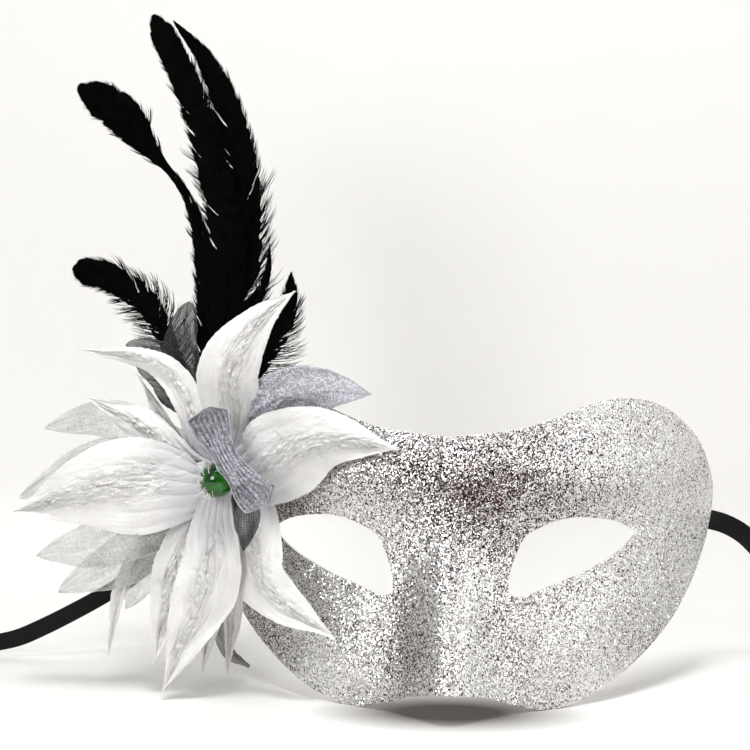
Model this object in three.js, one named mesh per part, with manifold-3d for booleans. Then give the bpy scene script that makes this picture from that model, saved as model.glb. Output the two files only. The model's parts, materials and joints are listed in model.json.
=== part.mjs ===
// A venetian half mask with a fabric flower, feathers and tie ribbons.
// Millimetres, +Z up, the mask's front faces -Y, +X is the viewer's right.
// The origin is the point inside the nose bridge where the mask rests on a face.
import * as THREE from 'three';
import { mergeVertices } from 'three/addons/utils/BufferGeometryUtils.js';
import Module from 'manifold-3d';

// ---- driving dimensions ----
const HALF_SPAN = 86; // half width at which the shell has wrapped back by WRAP_DEPTH
const WRAP_DEPTH = 60;
const WRAP_POWER = 2.2;
const SHELL_THICKNESS = 1.4;
const SHELL_GRID = 5; // size of one facet of the curved shell
const BRIDGE_HEIGHT = 52; // nose bridge above the lowest point of the cheeks
const NOSE_TOP = 72;
const NOSE_LENGTH = 64;
const NOSE_OUT = 21;
const NOSE_LIMIT = 1.1; // share of the nose's full height kept below its length
const NOSE_ROOT = 8; // reach of the nose across the face at its top
const NOSE_SPREAD = 6; // how much further it reaches at its foot
const SOCKET = { depth: 3, x: 38, z: 50, reachX: 20, reachZ: 16 };
const CHEEK = { depth: -2, x: 36, z: 18, reachX: 18, reachZ: 14 };
const BROW = { depth: -2.5, z: 78, reachZ: 10 };
const TOP_LEAN = { depth: 4, from: 78, over: 26 };
const SLAB = { width: 190, bottom: -4, height: 112 }; // blank that the shell's outline is cut from
const CUTTER_FRONT = -40; // the cutter reaches past the blank on both sides
const CUTTER_BACK = 110;
const RIM_STEPS = 96;
const EYE_TOP_STEPS = 14;
const EYE_BOTTOM_STEPS = 10;
const FINITE_STEP = 0.5; // step used to measure the shell's slope
const GAP = 0.3; // clearance kept between touching pieces

const RIBBON_WIDTH = 7;
const RIBBON_THICKNESS = 0.6;
const RIBBON_STEPS = 30;
const COIL_RADIUS = 38; // middle of the wound ribbon
const COIL_BUILD = 8; // how far the loose turns spread across the radius
const COIL_SIDES = 36;
const COIL_TIE_WIDTH = 6;
const COIL_TIE_THICKNESS = 0.5;
const TABLE_HEIGHT = 1.5; // the lowest point of the rim, which the ribbons also lie at
const LEFT_COIL = [-208, 25];
const RIGHT_COIL = [152, 36];

const TAB_SIZE = [12, 1, 16];
const TAB_X = 79;
const TAB_HEIGHT = 56;
const TAB_STANDOFF = 2.0; // middle of the tab behind the shell's inner face

const FLOWER = [-77, 76]; // x and height of the flower's centre
const STEM_RADIUS = 1.8;
const STEM_FRONT = 12.2;
const STEM_BACK = 30;
const BEAD_RADIUS = 5.8;
const BEAD_Y = 6;
const FELT_RADIUS = 12;
const FELT_THICKNESS = 1.5;
const FELT_STANDOFF = 1.4;
const FELT_OFFSET = 5; // the felt sits this far inwards, where the shell is flatter
const GLUE = { front: 5, back: 6.5, depth: 2.4 }; // radii of the set glue, and its depth
const BINDING = { top: 5.5, bottom: 4.5, length: 6, at: [-84, 32, 87] };
const ROUND_SIDES = { felt: 28, stem: 12, bead: 20, glue: 20, binding: 16 };
const BEAD_RINGS = 12;

const PETAL_THICKNESS = 0.6;
const ORGANZA_THICKNESS = 0.5;
const VANE_THICKNESS = 0.7;
const PETAL_STEPS = 8;
const FEATHER_STEPS = 14;

// ---- materials ----
const look = (color, roughness, metalness = 0) =>
  new THREE.MeshStandardMaterial({ color, roughness, metalness });
const GLITTER = look(0xc8c6c2, 0.35, 0.7);
const SATIN = look(0xe9e9ea, 0.4);
const ORGANZA = look(0xc9c8d2, 0.6);
const BLACK_ORGANZA = look(0x1c1c20, 0.6);
const RIBBON = look(0x0a0a0b, 0.45);
const FELT = look(0xd8d8d6, 0.9);
const BEAD = look(0x1f7a10, 0.15);
const WIRE = look(0x3d5a34, 0.6);
const HOT_GLUE = look(0xe8e4d8, 0.4);
const FEATHER = look(0x0b0d0c, 0.6);
const TAPE = look(0x23301f, 0.7);

// ---- scene graph: one group moves the bridge point to the origin ----
const model = new THREE.Group();
model.name = 'masquerade_mask';
const placed = new THREE.Group();
model.add(placed);

function addPart(name, geometry, material) {
  const mesh = new THREE.Mesh(geometry, material);
  mesh.name = name;
  placed.add(mesh);
  return mesh;
}

// ---- solids ----
const wasm = await Module();
wasm.setup();

function weld(geometry) {
  const bare = geometry.index ? geometry.toNonIndexed() : geometry.clone();
  bare.deleteAttribute('normal');
  bare.deleteAttribute('uv');
  return mergeVertices(bare, 1e-4);
}

function toSolid(geometry) {
  const welded = weld(geometry);
  const mesh = new wasm.Mesh({
    numProp: 3,
    vertProperties: new Float32Array(welded.attributes.position.array),
    triVerts: new Uint32Array(welded.index.array),
  });
  return new wasm.Manifold(mesh);
}

function toGeometry(solid) {
  const mesh = solid.getMesh();
  const geometry = new THREE.BufferGeometry();
  geometry.setAttribute('position', new THREE.BufferAttribute(new Float32Array(mesh.vertProperties), 3));
  geometry.setIndex(new THREE.BufferAttribute(new Uint32Array(mesh.triVerts), 1));
  return geometry;
}

function signedVolume(geometry) {
  const points = geometry.attributes.position;
  const index = geometry.index;
  const a = new THREE.Vector3();
  const b = new THREE.Vector3();
  const c = new THREE.Vector3();
  let sum = 0;
  for (let i = 0; i < index.count; i += 3) {
    a.fromBufferAttribute(points, index.getX(i));
    b.fromBufferAttribute(points, index.getX(i + 1));
    c.fromBufferAttribute(points, index.getX(i + 2));
    sum += a.dot(b.cross(c)) / 6;
  }
  return sum;
}

// A unit box whose vertices are moved by place(u, v, w), each from -0.5 to 0.5.
function bentBox(countU, countV, place) {
  const geometry = weld(new THREE.BoxGeometry(1, 1, 1, countU, countV, 1));
  const points = geometry.attributes.position;
  for (let i = 0; i < points.count; i += 1) {
    const moved = place(points.getX(i), points.getY(i), points.getZ(i));
    points.setXYZ(i, moved.x, moved.y, moved.z);
  }
  if (signedVolume(geometry) < 0) {
    const index = geometry.index;
    for (let i = 0; i < index.count; i += 3) {
      const kept = index.getX(i);
      index.setX(i, index.getX(i + 1));
      index.setX(i + 1, kept);
    }
  }
  return geometry;
}

// ---- the mask's curved front: depth behind the brow at x and height z ----
const bump = (value) => Math.exp(-value * value);
const swell = ({ depth, x, z, reachX, reachZ }, side, height) =>
  depth * bump((side - x) / reachX) * bump((height - z) / reachZ);

function faceDepth(x, z) {
  const side = Math.abs(x);
  const wrap = WRAP_DEPTH * (side / HALF_SPAN) ** WRAP_POWER;
  const down = THREE.MathUtils.clamp((NOSE_TOP - z) / NOSE_LENGTH, 0, NOSE_LIMIT);
  const nose = -NOSE_OUT * down * bump(side / (NOSE_ROOT + NOSE_SPREAD * down));
  const brow = BROW.depth * bump((z - BROW.z) / BROW.reachZ);
  const lean = TOP_LEAN.depth * (Math.max(z - TOP_LEAN.from, 0) / TOP_LEAN.over) ** 2;
  return wrap + nose + swell(SOCKET, side, z) + swell(CHEEK, side, z) + brow + lean;
}

function faceSlope(x, z) {
  const slopeX = (faceDepth(x + FINITE_STEP, z) - faceDepth(x - FINITE_STEP, z)) / (2 * FINITE_STEP);
  const slopeZ = (faceDepth(x, z + FINITE_STEP) - faceDepth(x, z - FINITE_STEP)) / (2 * FINITE_STEP);
  return [slopeX, slopeZ];
}

function innerDepth(x, z) {
  const [slopeX, slopeZ] = faceSlope(x, z);
  return faceDepth(x, z) + SHELL_THICKNESS * Math.hypot(1, slopeX, slopeZ);
}

// ---- outlines of the right half, as x and height; the left half mirrors them ----
const RIM = [
  [0, 91.5], [20, 93.5], [32, 96.5], [43, 100.3], [57, 102.2], [71, 98.3], [83, 87.7], [89, 75],
  [90.8, 64.5], [88.5, 51], [83, 37], [75.6, 25.6], [65.6, 16], [54.4, 8.6], [43, 3.5], [32, 1.5],
  [21, 4.5], [10.5, 9.5], [0, 12],
];
const EYE_TOP = [
  [18.8, 40], [19.3, 47], [23, 57], [27.5, 60.8], [36.4, 63.8], [45.4, 63.7], [54.7, 61.3], [61.6, 57]];
const EYE_BOTTOM = [[61.6, 57], [54.5, 50.8], [43.3, 45.5], [32, 41.9], [23, 39.2], [18.8, 40]];

const toPlane = (pairs, sign) => pairs.map(([x, z]) => new THREE.Vector2(sign * x, z));

function smoothRun(points, steps) {
  return new THREE.SplineCurve(points).getPoints(steps);
}

function maskOutline() {
  const right = toPlane(RIM, 1);
  const left = toPlane(RIM, -1).reverse().slice(1, -1);
  const closed = [...right, ...left, right[0]];
  return smoothRun(closed, RIM_STEPS).slice(0, -1);
}

function eyeOutline(sign) {
  const top = smoothRun(toPlane(EYE_TOP, sign), EYE_TOP_STEPS);
  const bottom = smoothRun(toPlane(EYE_BOTTOM, sign), EYE_BOTTOM_STEPS);
  const loop = [...top.slice(0, -1), ...bottom.slice(0, -1)];
  return sign > 0 ? loop.reverse() : loop;
}

function prismAlongY(shape, from, to) {
  const geometry = new THREE.ExtrudeGeometry(shape, { depth: to - from, bevelEnabled: false });
  geometry.rotateX(Math.PI / 2);
  geometry.translate(0, to, 0);
  return geometry;
}

function maskShell() {
  const { width, bottom, height } = SLAB;
  const slab = bentBox(Math.round(width / SHELL_GRID), Math.round(height / SHELL_GRID), (u, v, w) => {
    const x = u * width;
    const z = bottom + (v + 0.5) * height;
    return new THREE.Vector3(x, w < 0 ? faceDepth(x, z) : innerDepth(x, z), z);
  });
  const shape = new THREE.Shape(maskOutline());
  shape.holes = [new THREE.Path(eyeOutline(1)), new THREE.Path(eyeOutline(-1))];
  const cutter = prismAlongY(shape, CUTTER_FRONT, CUTTER_BACK);
  return toGeometry(toSolid(slab).intersect(toSolid(cutter)));
}

addPart('mask_shell', maskShell(), GLITTER);

// ---- ribbon tabs inside the temples, and the ribbons they hold ----
for (const [side, sign] of [['left', -1], ['right', 1]]) {
  const [slopeX] = faceSlope(sign * TAB_X, TAB_HEIGHT);
  const tab = addPart(`ribbon_tab_${side}`, new THREE.BoxGeometry(...TAB_SIZE), FELT);
  const turn = Math.atan(slopeX);
  const standoff = TAB_STANDOFF / Math.cos(turn);
  tab.position.set(sign * TAB_X, innerDepth(sign * TAB_X, TAB_HEIGHT) + standoff, TAB_HEIGHT);
  tab.rotation.z = turn;
}

// A flat band on edge along a route, its width kept upright.
function band(route, steps, width, thickness) {
  const curve = new THREE.CatmullRomCurve3(route.map((point) => new THREE.Vector3(...point)));
  return bentBox(1, steps, (u, v, w) => {
    const point = curve.getPointAt(v + 0.5);
    const along = curve.getTangentAt(v + 0.5);
    const across = new THREE.Vector3(-along.y, along.x, 0).normalize();
    const upward = new THREE.Vector3().crossVectors(along, across);
    point.addScaledVector(upward, u * width);
    return point.addScaledVector(across, w * thickness);
  });
}

const LEFT_RIBBON = [
  [-86.5, 68.5, 56], [-91.5, 75, 54.5], [-98, 77.5, 51], [-106, 77, 44], [-114, 75, 36.5], [-123, 72.5, 29],
  [-132, 70, 23.6], [-142, 67.8, 18.2], [-152, 66.2, 13.2], [-162, 65.3, 8.9], [-172, 65, 6.8],
  [-184, 65, 5.9],
  [-194.5, 65.4, 5.8],
];
const RIGHT_RIBBON = [
  [86.5, 68.5, 56], [91.5, 74.5, 54.5], [97, 77, 52.5], [103, 77.5, 49], [109, 77, 43], [114, 76.5, 35.5],
  [118, 76, 27], [121.5, 76, 19], [125.5, 76, 12.5], [130, 76, 8], [134.5, 76.2, 6.2], [138.5, 76.4, 5.8],
];
addPart('ribbon_left', band(LEFT_RIBBON, RIBBON_STEPS, RIBBON_WIDTH, RIBBON_THICKNESS), RIBBON);
addPart('ribbon_right', band(RIGHT_RIBBON, RIBBON_STEPS, RIBBON_WIDTH, RIBBON_THICKNESS), RIBBON);

function coilRing() {
  const inner = COIL_RADIUS - COIL_BUILD / 2;
  const outer = COIL_RADIUS + COIL_BUILD / 2;
  const half = RIBBON_WIDTH / 2;
  const profile = [[inner, -half], [outer, -half], [outer, half], [inner, half], [inner, -half]];
  const geometry = new THREE.LatheGeometry(profile.map(([x, y]) => new THREE.Vector2(x, y)), COIL_SIDES);
  return geometry.rotateX(Math.PI / 2);
}

function coilTie() {
  const halfX = COIL_BUILD / 2 + GAP;
  const halfZ = RIBBON_WIDTH / 2 + GAP;
  const frame = (growth) => [
    new THREE.Vector2(-halfX - growth, -halfZ - growth),
    new THREE.Vector2(halfX + growth, -halfZ - growth),
    new THREE.Vector2(halfX + growth, halfZ + growth),
    new THREE.Vector2(-halfX - growth, halfZ + growth),
  ];
  const shape = new THREE.Shape(frame(COIL_TIE_THICKNESS));
  shape.holes = [new THREE.Path(frame(0))];
  const geometry = new THREE.ExtrudeGeometry(shape, { depth: COIL_TIE_WIDTH, bevelEnabled: false });
  return geometry.translate(0, 0, -COIL_TIE_WIDTH / 2).rotateX(Math.PI / 2);
}

const COIL_HEIGHT = TABLE_HEIGHT + RIBBON_WIDTH / 2 + GAP + COIL_TIE_THICKNESS;
for (const [side, centre] of [['left', LEFT_COIL], ['right', RIGHT_COIL]]) {
  const ring = addPart(`ribbon_coil_${side}`, coilRing(), RIBBON);
  ring.position.set(centre[0], centre[1], COIL_HEIGHT);
  const tie = addPart(`coil_tie_${side}`, coilTie(), RIBBON);
  const out = centre[0] < 0 ? -1 : 1;
  tie.position.set(centre[0] + out * COIL_RADIUS, centre[1], COIL_HEIGHT);
}

// ---- flower: backing, stem and bead ----
const [flowerX, flowerZ] = FLOWER;
const backingX = flowerX + FELT_OFFSET;
const disc = new THREE.CylinderGeometry(FELT_RADIUS, FELT_RADIUS, FELT_THICKNESS, ROUND_SIDES.felt);
const felt = addPart('flower_backing', disc, FELT);
const feltTurn = Math.atan(faceSlope(backingX, flowerZ)[0]);
const feltStandoff = FELT_STANDOFF + FELT_THICKNESS / 2;
felt.position.set(
  backingX + Math.sin(feltTurn) * feltStandoff,
  faceDepth(backingX, flowerZ) - Math.cos(feltTurn) * feltStandoff,
  flowerZ,
);
felt.rotation.z = feltTurn;

const stemLength = STEM_BACK - STEM_FRONT;
const rod = new THREE.CylinderGeometry(STEM_RADIUS, STEM_RADIUS, stemLength, ROUND_SIDES.stem);
const stem = addPart('flower_stem', rod, WIRE);
stem.position.set(flowerX, (STEM_FRONT + STEM_BACK) / 2, flowerZ);

const ball = new THREE.SphereGeometry(BEAD_RADIUS, ROUND_SIDES.bead, BEAD_RINGS);
const bead = addPart('flower_bead', ball, BEAD);
bead.position.set(flowerX, BEAD_Y, flowerZ);

const blob = new THREE.CylinderGeometry(GLUE.front, GLUE.back, GLUE.depth, ROUND_SIDES.glue);
const glue = addPart('glue_pad', blob, HOT_GLUE);
glue.position.set(flowerX, STEM_BACK + GAP + GLUE.depth / 2, flowerZ);

// ---- petals and feathers: thin blades along a curve ----
// Each width function gives the share of the full width from base (0) to tip (1).
const LEAST_WIDTH = 0.05;
const FOOT_WIDTH = 0.16; // share of the width left at a petal's gathered foot
const PETAL_BELLY = { place: 0.85, fullness: 1.15, width: 0.98 };
// A feather's width along its length: share at the foot, rate of widening, and how the end is drawn in.
const VANE = { foot: 0.25, widening: 2.2, end: 1.03, narrowing: 7, roundness: 0.6 };
const PADDLE = {
  foot: 0.3, widening: 3, end: 1.02, narrowing: 12,
  stalk: 0.2, bare: 0.75, bareFrom: 0.3, bareTo: 0.72, size: 1.35, centre: 0.86, reach: 0.1,
};
const FIN_EDGE = 0.7; // share of a blade's thickness kept at its edges

function petalWidth(t) {
  const belly = Math.sin(Math.PI * t ** PETAL_BELLY.place) ** PETAL_BELLY.fullness;
  return Math.max(LEAST_WIDTH, FOOT_WIDTH * (1 - t) + belly * PETAL_BELLY.width);
}

function vaneWidth(t) {
  const foot = Math.min(1, VANE.foot + VANE.widening * t);
  return foot * Math.min(1, (VANE.end - t) * VANE.narrowing) ** VANE.roundness;
}

function paddleWidth(t) {
  const bare = 1 - THREE.MathUtils.smoothstep(t, PADDLE.bareFrom, PADDLE.bareTo);
  const stalk = PADDLE.bare * bare + PADDLE.stalk;
  const paddle = PADDLE.size * bump((t - PADDLE.centre) / PADDLE.reach);
  const foot = Math.min(1, PADDLE.foot + PADDLE.widening * t);
  return Math.max(LEAST_WIDTH, foot * stalk + paddle) * Math.min(1, (PADDLE.end - t) * PADDLE.narrowing);
}

function blade({ route, width, thickness, shape, cup = 0, steps = PETAL_STEPS }) {
  const curve = new THREE.CatmullRomCurve3(route.map((point) => new THREE.Vector3(...point)));
  const viewLine = new THREE.Vector3(0, 1, 0);
  return bentBox(2, steps, (u, v, w) => {
    const t = v + 0.5;
    const point = curve.getPointAt(t);
    const along = curve.getTangentAt(t);
    const across = new THREE.Vector3().crossVectors(along, viewLine).normalize();
    const facing = new THREE.Vector3().crossVectors(across, along).normalize();
    const span = width * shape(t);
    point.addScaledVector(across, u * span);
    point.addScaledVector(facing, cup * span * (Math.abs(2 * u) - 0.5));
    return point.addScaledVector(facing, w * thickness * (u === 0 ? 1 : FIN_EDGE));
  });
}

const SATIN_PETALS = {
  satin_petal_top: { width: 20.5, cup: 0.12, route: [
    [-74, 16, 93], [-74, 11, 112], [-65, 11, 127], [-52, 14, 138]] },
  satin_petal_right: { width: 29, cup: 0.1, route: [[-66, 12, 78], [-43, 2, 90], [-17, -4, 88]] },
  satin_petal_left: { width: 32, cup: 0.1, route: [[-84, 12, 73], [-112, 8, 73], [-147, 12, 64]] },
  satin_petal_curled: { width: 9.5, cup: 0.2, route: [
    [-86, 22, 84], [-89, 22, 99], [-99, 24, 112], [-129, 28, 118]] },
  satin_strip: { width: 5, cup: 0, route: [[-90, 25, 82], [-100, 27, 95], [-108, 28, 109]] },
  satin_petal_glittered: { width: 12, cup: 0.1, route: [[-89, 18, 80], [-105, 18, 93], [-124, 21, 102]] },
  satin_petal_lower_left: { width: 15.5, cup: 0.1, route: [[-84, 16, 64], [-93, 14, 43], [-101, 16, 12]] },
  satin_petal_lower_middle: { width: 21, cup: 0.1, route: [[-79, 10, 63], [-80, 6, 44], [-96, 9, 5]] },
  satin_petal_lower_right: { width: 19.5, cup: 0.1, route: [[-67, 14, 67], [-64, 10, 43], [-38, 5, 24]] },
  satin_petal_slip: { width: 7, cup: 0, route: [[-104, 32, 52], [-115, 31, 35], [-120, 31, 11]] },
  satin_petal_back_middle: { width: 12, cup: 0.1, route: [[-81, 23, 57], [-82, 24, 32], [-86, 26, 7]] },
  satin_petal_back_right: { width: 9, cup: 0.1, route: [[-78, 28, 56], [-76, 28, 32], [-78, 30, 5]] },
};
const ORGANZA_PETALS = {
  organza_petal_right: { width: 21, cup: 0.1, route: [[-69, 18, 91], [-48, 9, 105], [-26, 2, 105]] },
  organza_petal_left: { width: 15, cup: 0.05, route: [[-87, 16, 77], [-114, 13, 82], [-146, 17, 68]] },
  organza_petal_upper_left: { width: 15, cup: 0.05, route: [[-92, 30, 82], [-118, 31, 93], [-142, 34, 90]] },
  organza_petal_lower_left: { width: 19, cup: 0.05, route: [[-87, 20, 66], [-112, 18, 55], [-142, 22, 47]] },
  organza_petal_lower_tip: { width: 19, cup: 0.05, route: [[-87, 24, 64], [-110, 24, 47], [-136, 27, 34]] },
  organza_petal_low: { width: 16, cup: 0.05, route: [[-87, 28, 60], [-103, 29, 45], [-113, 29, 28]] },
  organza_fold: { width: 10, cup: 0, route: [
    [-80, 3, 100], [-77, -1, 93], [-72, -4, 84], [-66, -4.5, 76], [-59, -2, 69]] },
};
const BLACK_PETALS = {
  organza_dark_fold: { width: 9, cup: 0, route: [[-70, 6, 74], [-67, 3, 66], [-68, 4, 53]] },
  black_organza_loop_tall: { width: 13, cup: 0, route: [[-88, 31, 99], [-94, 31, 117], [-91, 33, 134]] },
  black_organza_loop_low: { width: 15, cup: 0, route: [[-91, 30, 97], [-100, 30, 112], [-113, 32, 119]] },
  black_organza_point: { width: 5, cup: 0, route: [[-83, 33, 31], [-79, 34, 13], [-71, 34, 7]] },
};
for (const [name, petal] of Object.entries(SATIN_PETALS)) {
  addPart(name, blade({ ...petal, thickness: PETAL_THICKNESS, shape: petalWidth }), SATIN);
}
for (const [name, petal] of Object.entries(ORGANZA_PETALS)) {
  addPart(name, blade({ ...petal, thickness: ORGANZA_THICKNESS, shape: petalWidth }), ORGANZA);
}
for (const [name, petal] of Object.entries(BLACK_PETALS)) {
  addPart(name, blade({ ...petal, thickness: ORGANZA_THICKNESS, shape: petalWidth }), BLACK_ORGANZA);
}

const FEATHERS = {
  feather_tall_front: { width: 12, route: [
    [-84, 29, 91], [-79, 35, 124], [-79, 38, 152], [-83.5, 40, 179], [-91, 41, 204], [-104.5, 42, 232.5]] },
  feather_tall_back: { width: 16, route: [
    [-82, 31, 91], [-74, 41, 141], [-74.5, 44, 169], [-79, 46, 197], [-87, 47, 217], [-98.5, 47, 231]] },
  feather_paddle: { width: 10, shape: paddleWidth, route: [
    [-86, 33, 91], [-87, 46, 141], [-92, 50, 164], [-97, 51, 174], [-108, 51, 187], [-119, 50, 200],
    [-133, 49, 209]] },
  feather_left: { width: 13, route: [
    [-90, 36, 92], [-95, 39, 107], [-101, 41, 122], [-108, 43, 133], [-121, 43, 142], [-134, 42, 145]] },
  feather_fluffy_right: { width: 13, route: [
    [-79, 34, 92], [-72, 38, 103], [-65, 44, 116], [-59, 50, 130], [-58, 51, 144]] },
  feather_wisp: { width: 5, route: [[-80, 36, 91], [-74, 50, 124], [-67, 54, 143], [-66, 54, 154]] },
};
for (const [name, feather] of Object.entries(FEATHERS)) {
  const vane = blade({ steps: FEATHER_STEPS, thickness: VANE_THICKNESS, shape: vaneWidth, ...feather });
  addPart(name, vane, FEATHER);
}

// The quills end in a short wound binding behind the petals.
const wound = new THREE.CylinderGeometry(BINDING.top, BINDING.bottom, BINDING.length, ROUND_SIDES.binding);
const binding = addPart('feather_binding', wound, TAPE);
binding.rotation.x = Math.PI / 2;
binding.position.set(...BINDING.at);

placed.position.set(0, -innerDepth(0, BRIDGE_HEIGHT), -BRIDGE_HEIGHT);

export default model;
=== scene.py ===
"""A venetian half mask with a fabric flower, feathers and tie ribbons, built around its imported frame."""
import functools
import json
import math
import random

import bpy
import numpy as np
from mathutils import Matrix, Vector, noise

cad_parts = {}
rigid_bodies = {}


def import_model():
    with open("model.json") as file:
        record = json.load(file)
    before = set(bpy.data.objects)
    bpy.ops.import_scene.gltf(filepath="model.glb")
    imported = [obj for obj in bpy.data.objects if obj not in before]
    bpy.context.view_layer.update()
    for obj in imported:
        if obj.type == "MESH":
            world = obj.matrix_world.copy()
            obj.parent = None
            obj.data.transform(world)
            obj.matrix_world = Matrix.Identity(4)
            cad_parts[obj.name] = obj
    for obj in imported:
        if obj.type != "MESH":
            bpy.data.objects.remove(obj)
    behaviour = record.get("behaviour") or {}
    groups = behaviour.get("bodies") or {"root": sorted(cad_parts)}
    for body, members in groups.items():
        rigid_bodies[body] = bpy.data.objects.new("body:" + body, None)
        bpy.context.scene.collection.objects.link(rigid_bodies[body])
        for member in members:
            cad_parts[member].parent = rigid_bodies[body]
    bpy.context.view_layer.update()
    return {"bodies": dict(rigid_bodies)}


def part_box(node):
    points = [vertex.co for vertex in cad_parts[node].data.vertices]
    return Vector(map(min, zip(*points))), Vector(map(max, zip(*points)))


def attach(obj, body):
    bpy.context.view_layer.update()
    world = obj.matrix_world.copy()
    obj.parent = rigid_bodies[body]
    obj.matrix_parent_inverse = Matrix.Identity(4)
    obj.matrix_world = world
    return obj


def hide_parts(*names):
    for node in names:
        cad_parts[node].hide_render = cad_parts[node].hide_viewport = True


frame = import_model()
BODY = next(iter(frame["bodies"]))

bl_info = {
    "name": "Masquerade Mask",
    "version": (1, 0, 0),
    "blender": (4, 5, 0),
    "location": "View3D > Sidebar > Mask",
    "description": "Builds a glittered half mask with a satin flower, feathers and ribbons",
    "category": "Add Mesh",
}

MM = 0.001
SEED = 11

# The curved face, in millimetres above the cheeks, as the frame has it.
HALF_SPAN = 86.0
WRAP_DEPTH = 60.0
WRAP_POWER = 2.2
NOSE_TOP = 72.0
NOSE_LENGTH = 64.0
NOSE_OUT = 21.0
BRIDGE_HEIGHT = 52.0

RIM = [
    (0, 91.5), (20, 93.5), (32, 96.5), (43, 100.3), (57, 102.2), (71, 98.3), (83, 87.7), (89, 75),
    (90.8, 64.5), (88.5, 51), (83, 37), (75.6, 25.6), (65.6, 16), (54.4, 8.6), (43, 3.5), (32, 1.5),
    (21, 4.5), (10.5, 9.5), (0, 12),
]
EYE_TOP = [
    (18.8, 40), (19.3, 47), (23, 57), (27.5, 60.8), (36.4, 63.8), (45.4, 63.7), (54.7, 61.3), (61.6, 57)]
EYE_BOTTOM = [(61.6, 57), (54.5, 50.8), (43.3, 45.5), (32, 41.9), (23, 39.2), (18.8, 40)]

# Ribbon runs from inside each temple to the table, then the coil each one ends in.
LEFT_RUN = [
    (-86.5, 68.5, 56), (-91.5, 75, 54.5), (-98, 77.5, 51), (-106, 77, 44), (-114, 75, 36.5),
    (-123, 72.5, 29), (-132, 70, 23.6), (-142, 67.8, 18.2), (-152, 66.2, 13.2), (-162, 65.3, 8.9),
    (-172, 65, 6.8),
    (-184, 65, 5.9), (-194.5, 65.4, 5.8),
]
RIGHT_RUN = [
    (86.5, 68.5, 56), (91.5, 74.5, 54.5), (97, 77, 52.5), (103, 77.5, 49), (109, 77, 43),
    (114, 76.5, 35.5), (118, 76, 27), (121.5, 76, 19), (125.5, 76, 12.5), (130, 76, 8),
    (134.5, 76.2, 6.2), (138.5, 76.4, 5.8),
]
LEFT_COIL = (-208.0, 25.0)
RIGHT_COIL = (152.0, 36.0)
COIL_OUTER = 41.4
COIL_PITCH = 3.6
COIL_HEIGHT = 5.8
LEFT_LEAN = math.radians(20)  # how far the left band leans back between temple and coil

# Petals: width and the line from base to tip, in millimetres.
SATIN_PETALS = {
    "satin_petal_top": (20.5, 0.12, [(-74, 16, 93), (-74, 11, 112), (-65, 11, 127), (-52, 14, 138)]),
    "satin_petal_right": (29, 0.1, [(-66, 12, 78), (-43, 2, 90), (-17, -4, 88)]),
    "satin_petal_left": (32, 0.1, [(-84, 12, 73), (-112, 8, 73), (-147, 12, 64)]),
    "satin_petal_curled": (9.5, 0.2, [(-86, 22, 84), (-89, 22, 99), (-99, 24, 112), (-129, 28, 118)]),
    "satin_strip": (5, 0.0, [(-90, 25, 82), (-100, 27, 95), (-108, 28, 109)]),
    "satin_petal_glittered": (12, 0.1, [(-89, 18, 80), (-105, 18, 93), (-124, 21, 102)]),
    "satin_petal_lower_left": (15.5, 0.1, [(-84, 16, 64), (-93, 14, 43), (-101, 16, 12)]),
    "satin_petal_lower_middle": (21, 0.1, [(-79, 10, 63), (-80, 6, 44), (-96, 9, 5)]),
    "satin_petal_lower_right": (19.5, 0.1, [(-67, 14, 67), (-64, 10, 43), (-38, 5, 24)]),
    "satin_petal_slip": (7, 0.0, [(-104, 32, 52), (-115, 31, 35), (-120, 31, 11)]),
    "satin_petal_back_middle": (12, 0.1, [(-81, 23, 57), (-82, 24, 32), (-86, 26, 7)]),
    "satin_petal_back_right": (9, 0.1, [(-78, 28, 56), (-76, 28, 32), (-78, 30, 5)]),
}
LAVENDER_PETALS = {
    "organza_petal_right": (21, 0.1, [(-69, 18, 91), (-48, 9, 105), (-26, 2, 105)]),
}
LAVENDER_FOLDS = {
    "organza_fold": (14, 0.0, [(-80, 3, 100), (-77, -1, 93), (-72, -4, 84), (-66, -4.5, 76), (-59, -2, 69)]),
}
PALE_PETALS = {
    "organza_petal_left": (15, 0.05, [(-87, 16, 77), (-114, 13, 82), (-146, 17, 68)]),
    "organza_petal_upper_left": (15, 0.05, [(-92, 30, 82), (-118, 31, 93), (-142, 34, 90)]),
    "organza_petal_lower_left": (19, 0.05, [(-87, 20, 66), (-112, 18, 55), (-142, 22, 47)]),
    "organza_petal_lower_tip": (19, 0.05, [(-87, 24, 64), (-110, 24, 47), (-136, 27, 34)]),
    "organza_petal_low": (16, 0.05, [(-87, 28, 60), (-103, 29, 45), (-113, 29, 28)]),
}
BLACK_LOOPS = {
    "black_organza_loop_tall": (13, 0.0, [(-88, 31, 99), (-94, 31, 117), (-91, 33, 134)]),
    "black_organza_loop_low": (15, 0.0, [(-91, 30, 97), (-100, 30, 112), (-113, 32, 119)]),
}
BLACK_FOLDS = {
    "organza_dark_fold": (9, 0.0, [(-70, 6, 74), (-67, 3, 66), (-68, 4, 53)]),
    "black_organza_point": (5, 0.0, [(-83, 33, 31), (-79, 34, 13), (-71, 34, 7)]),
}

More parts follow.
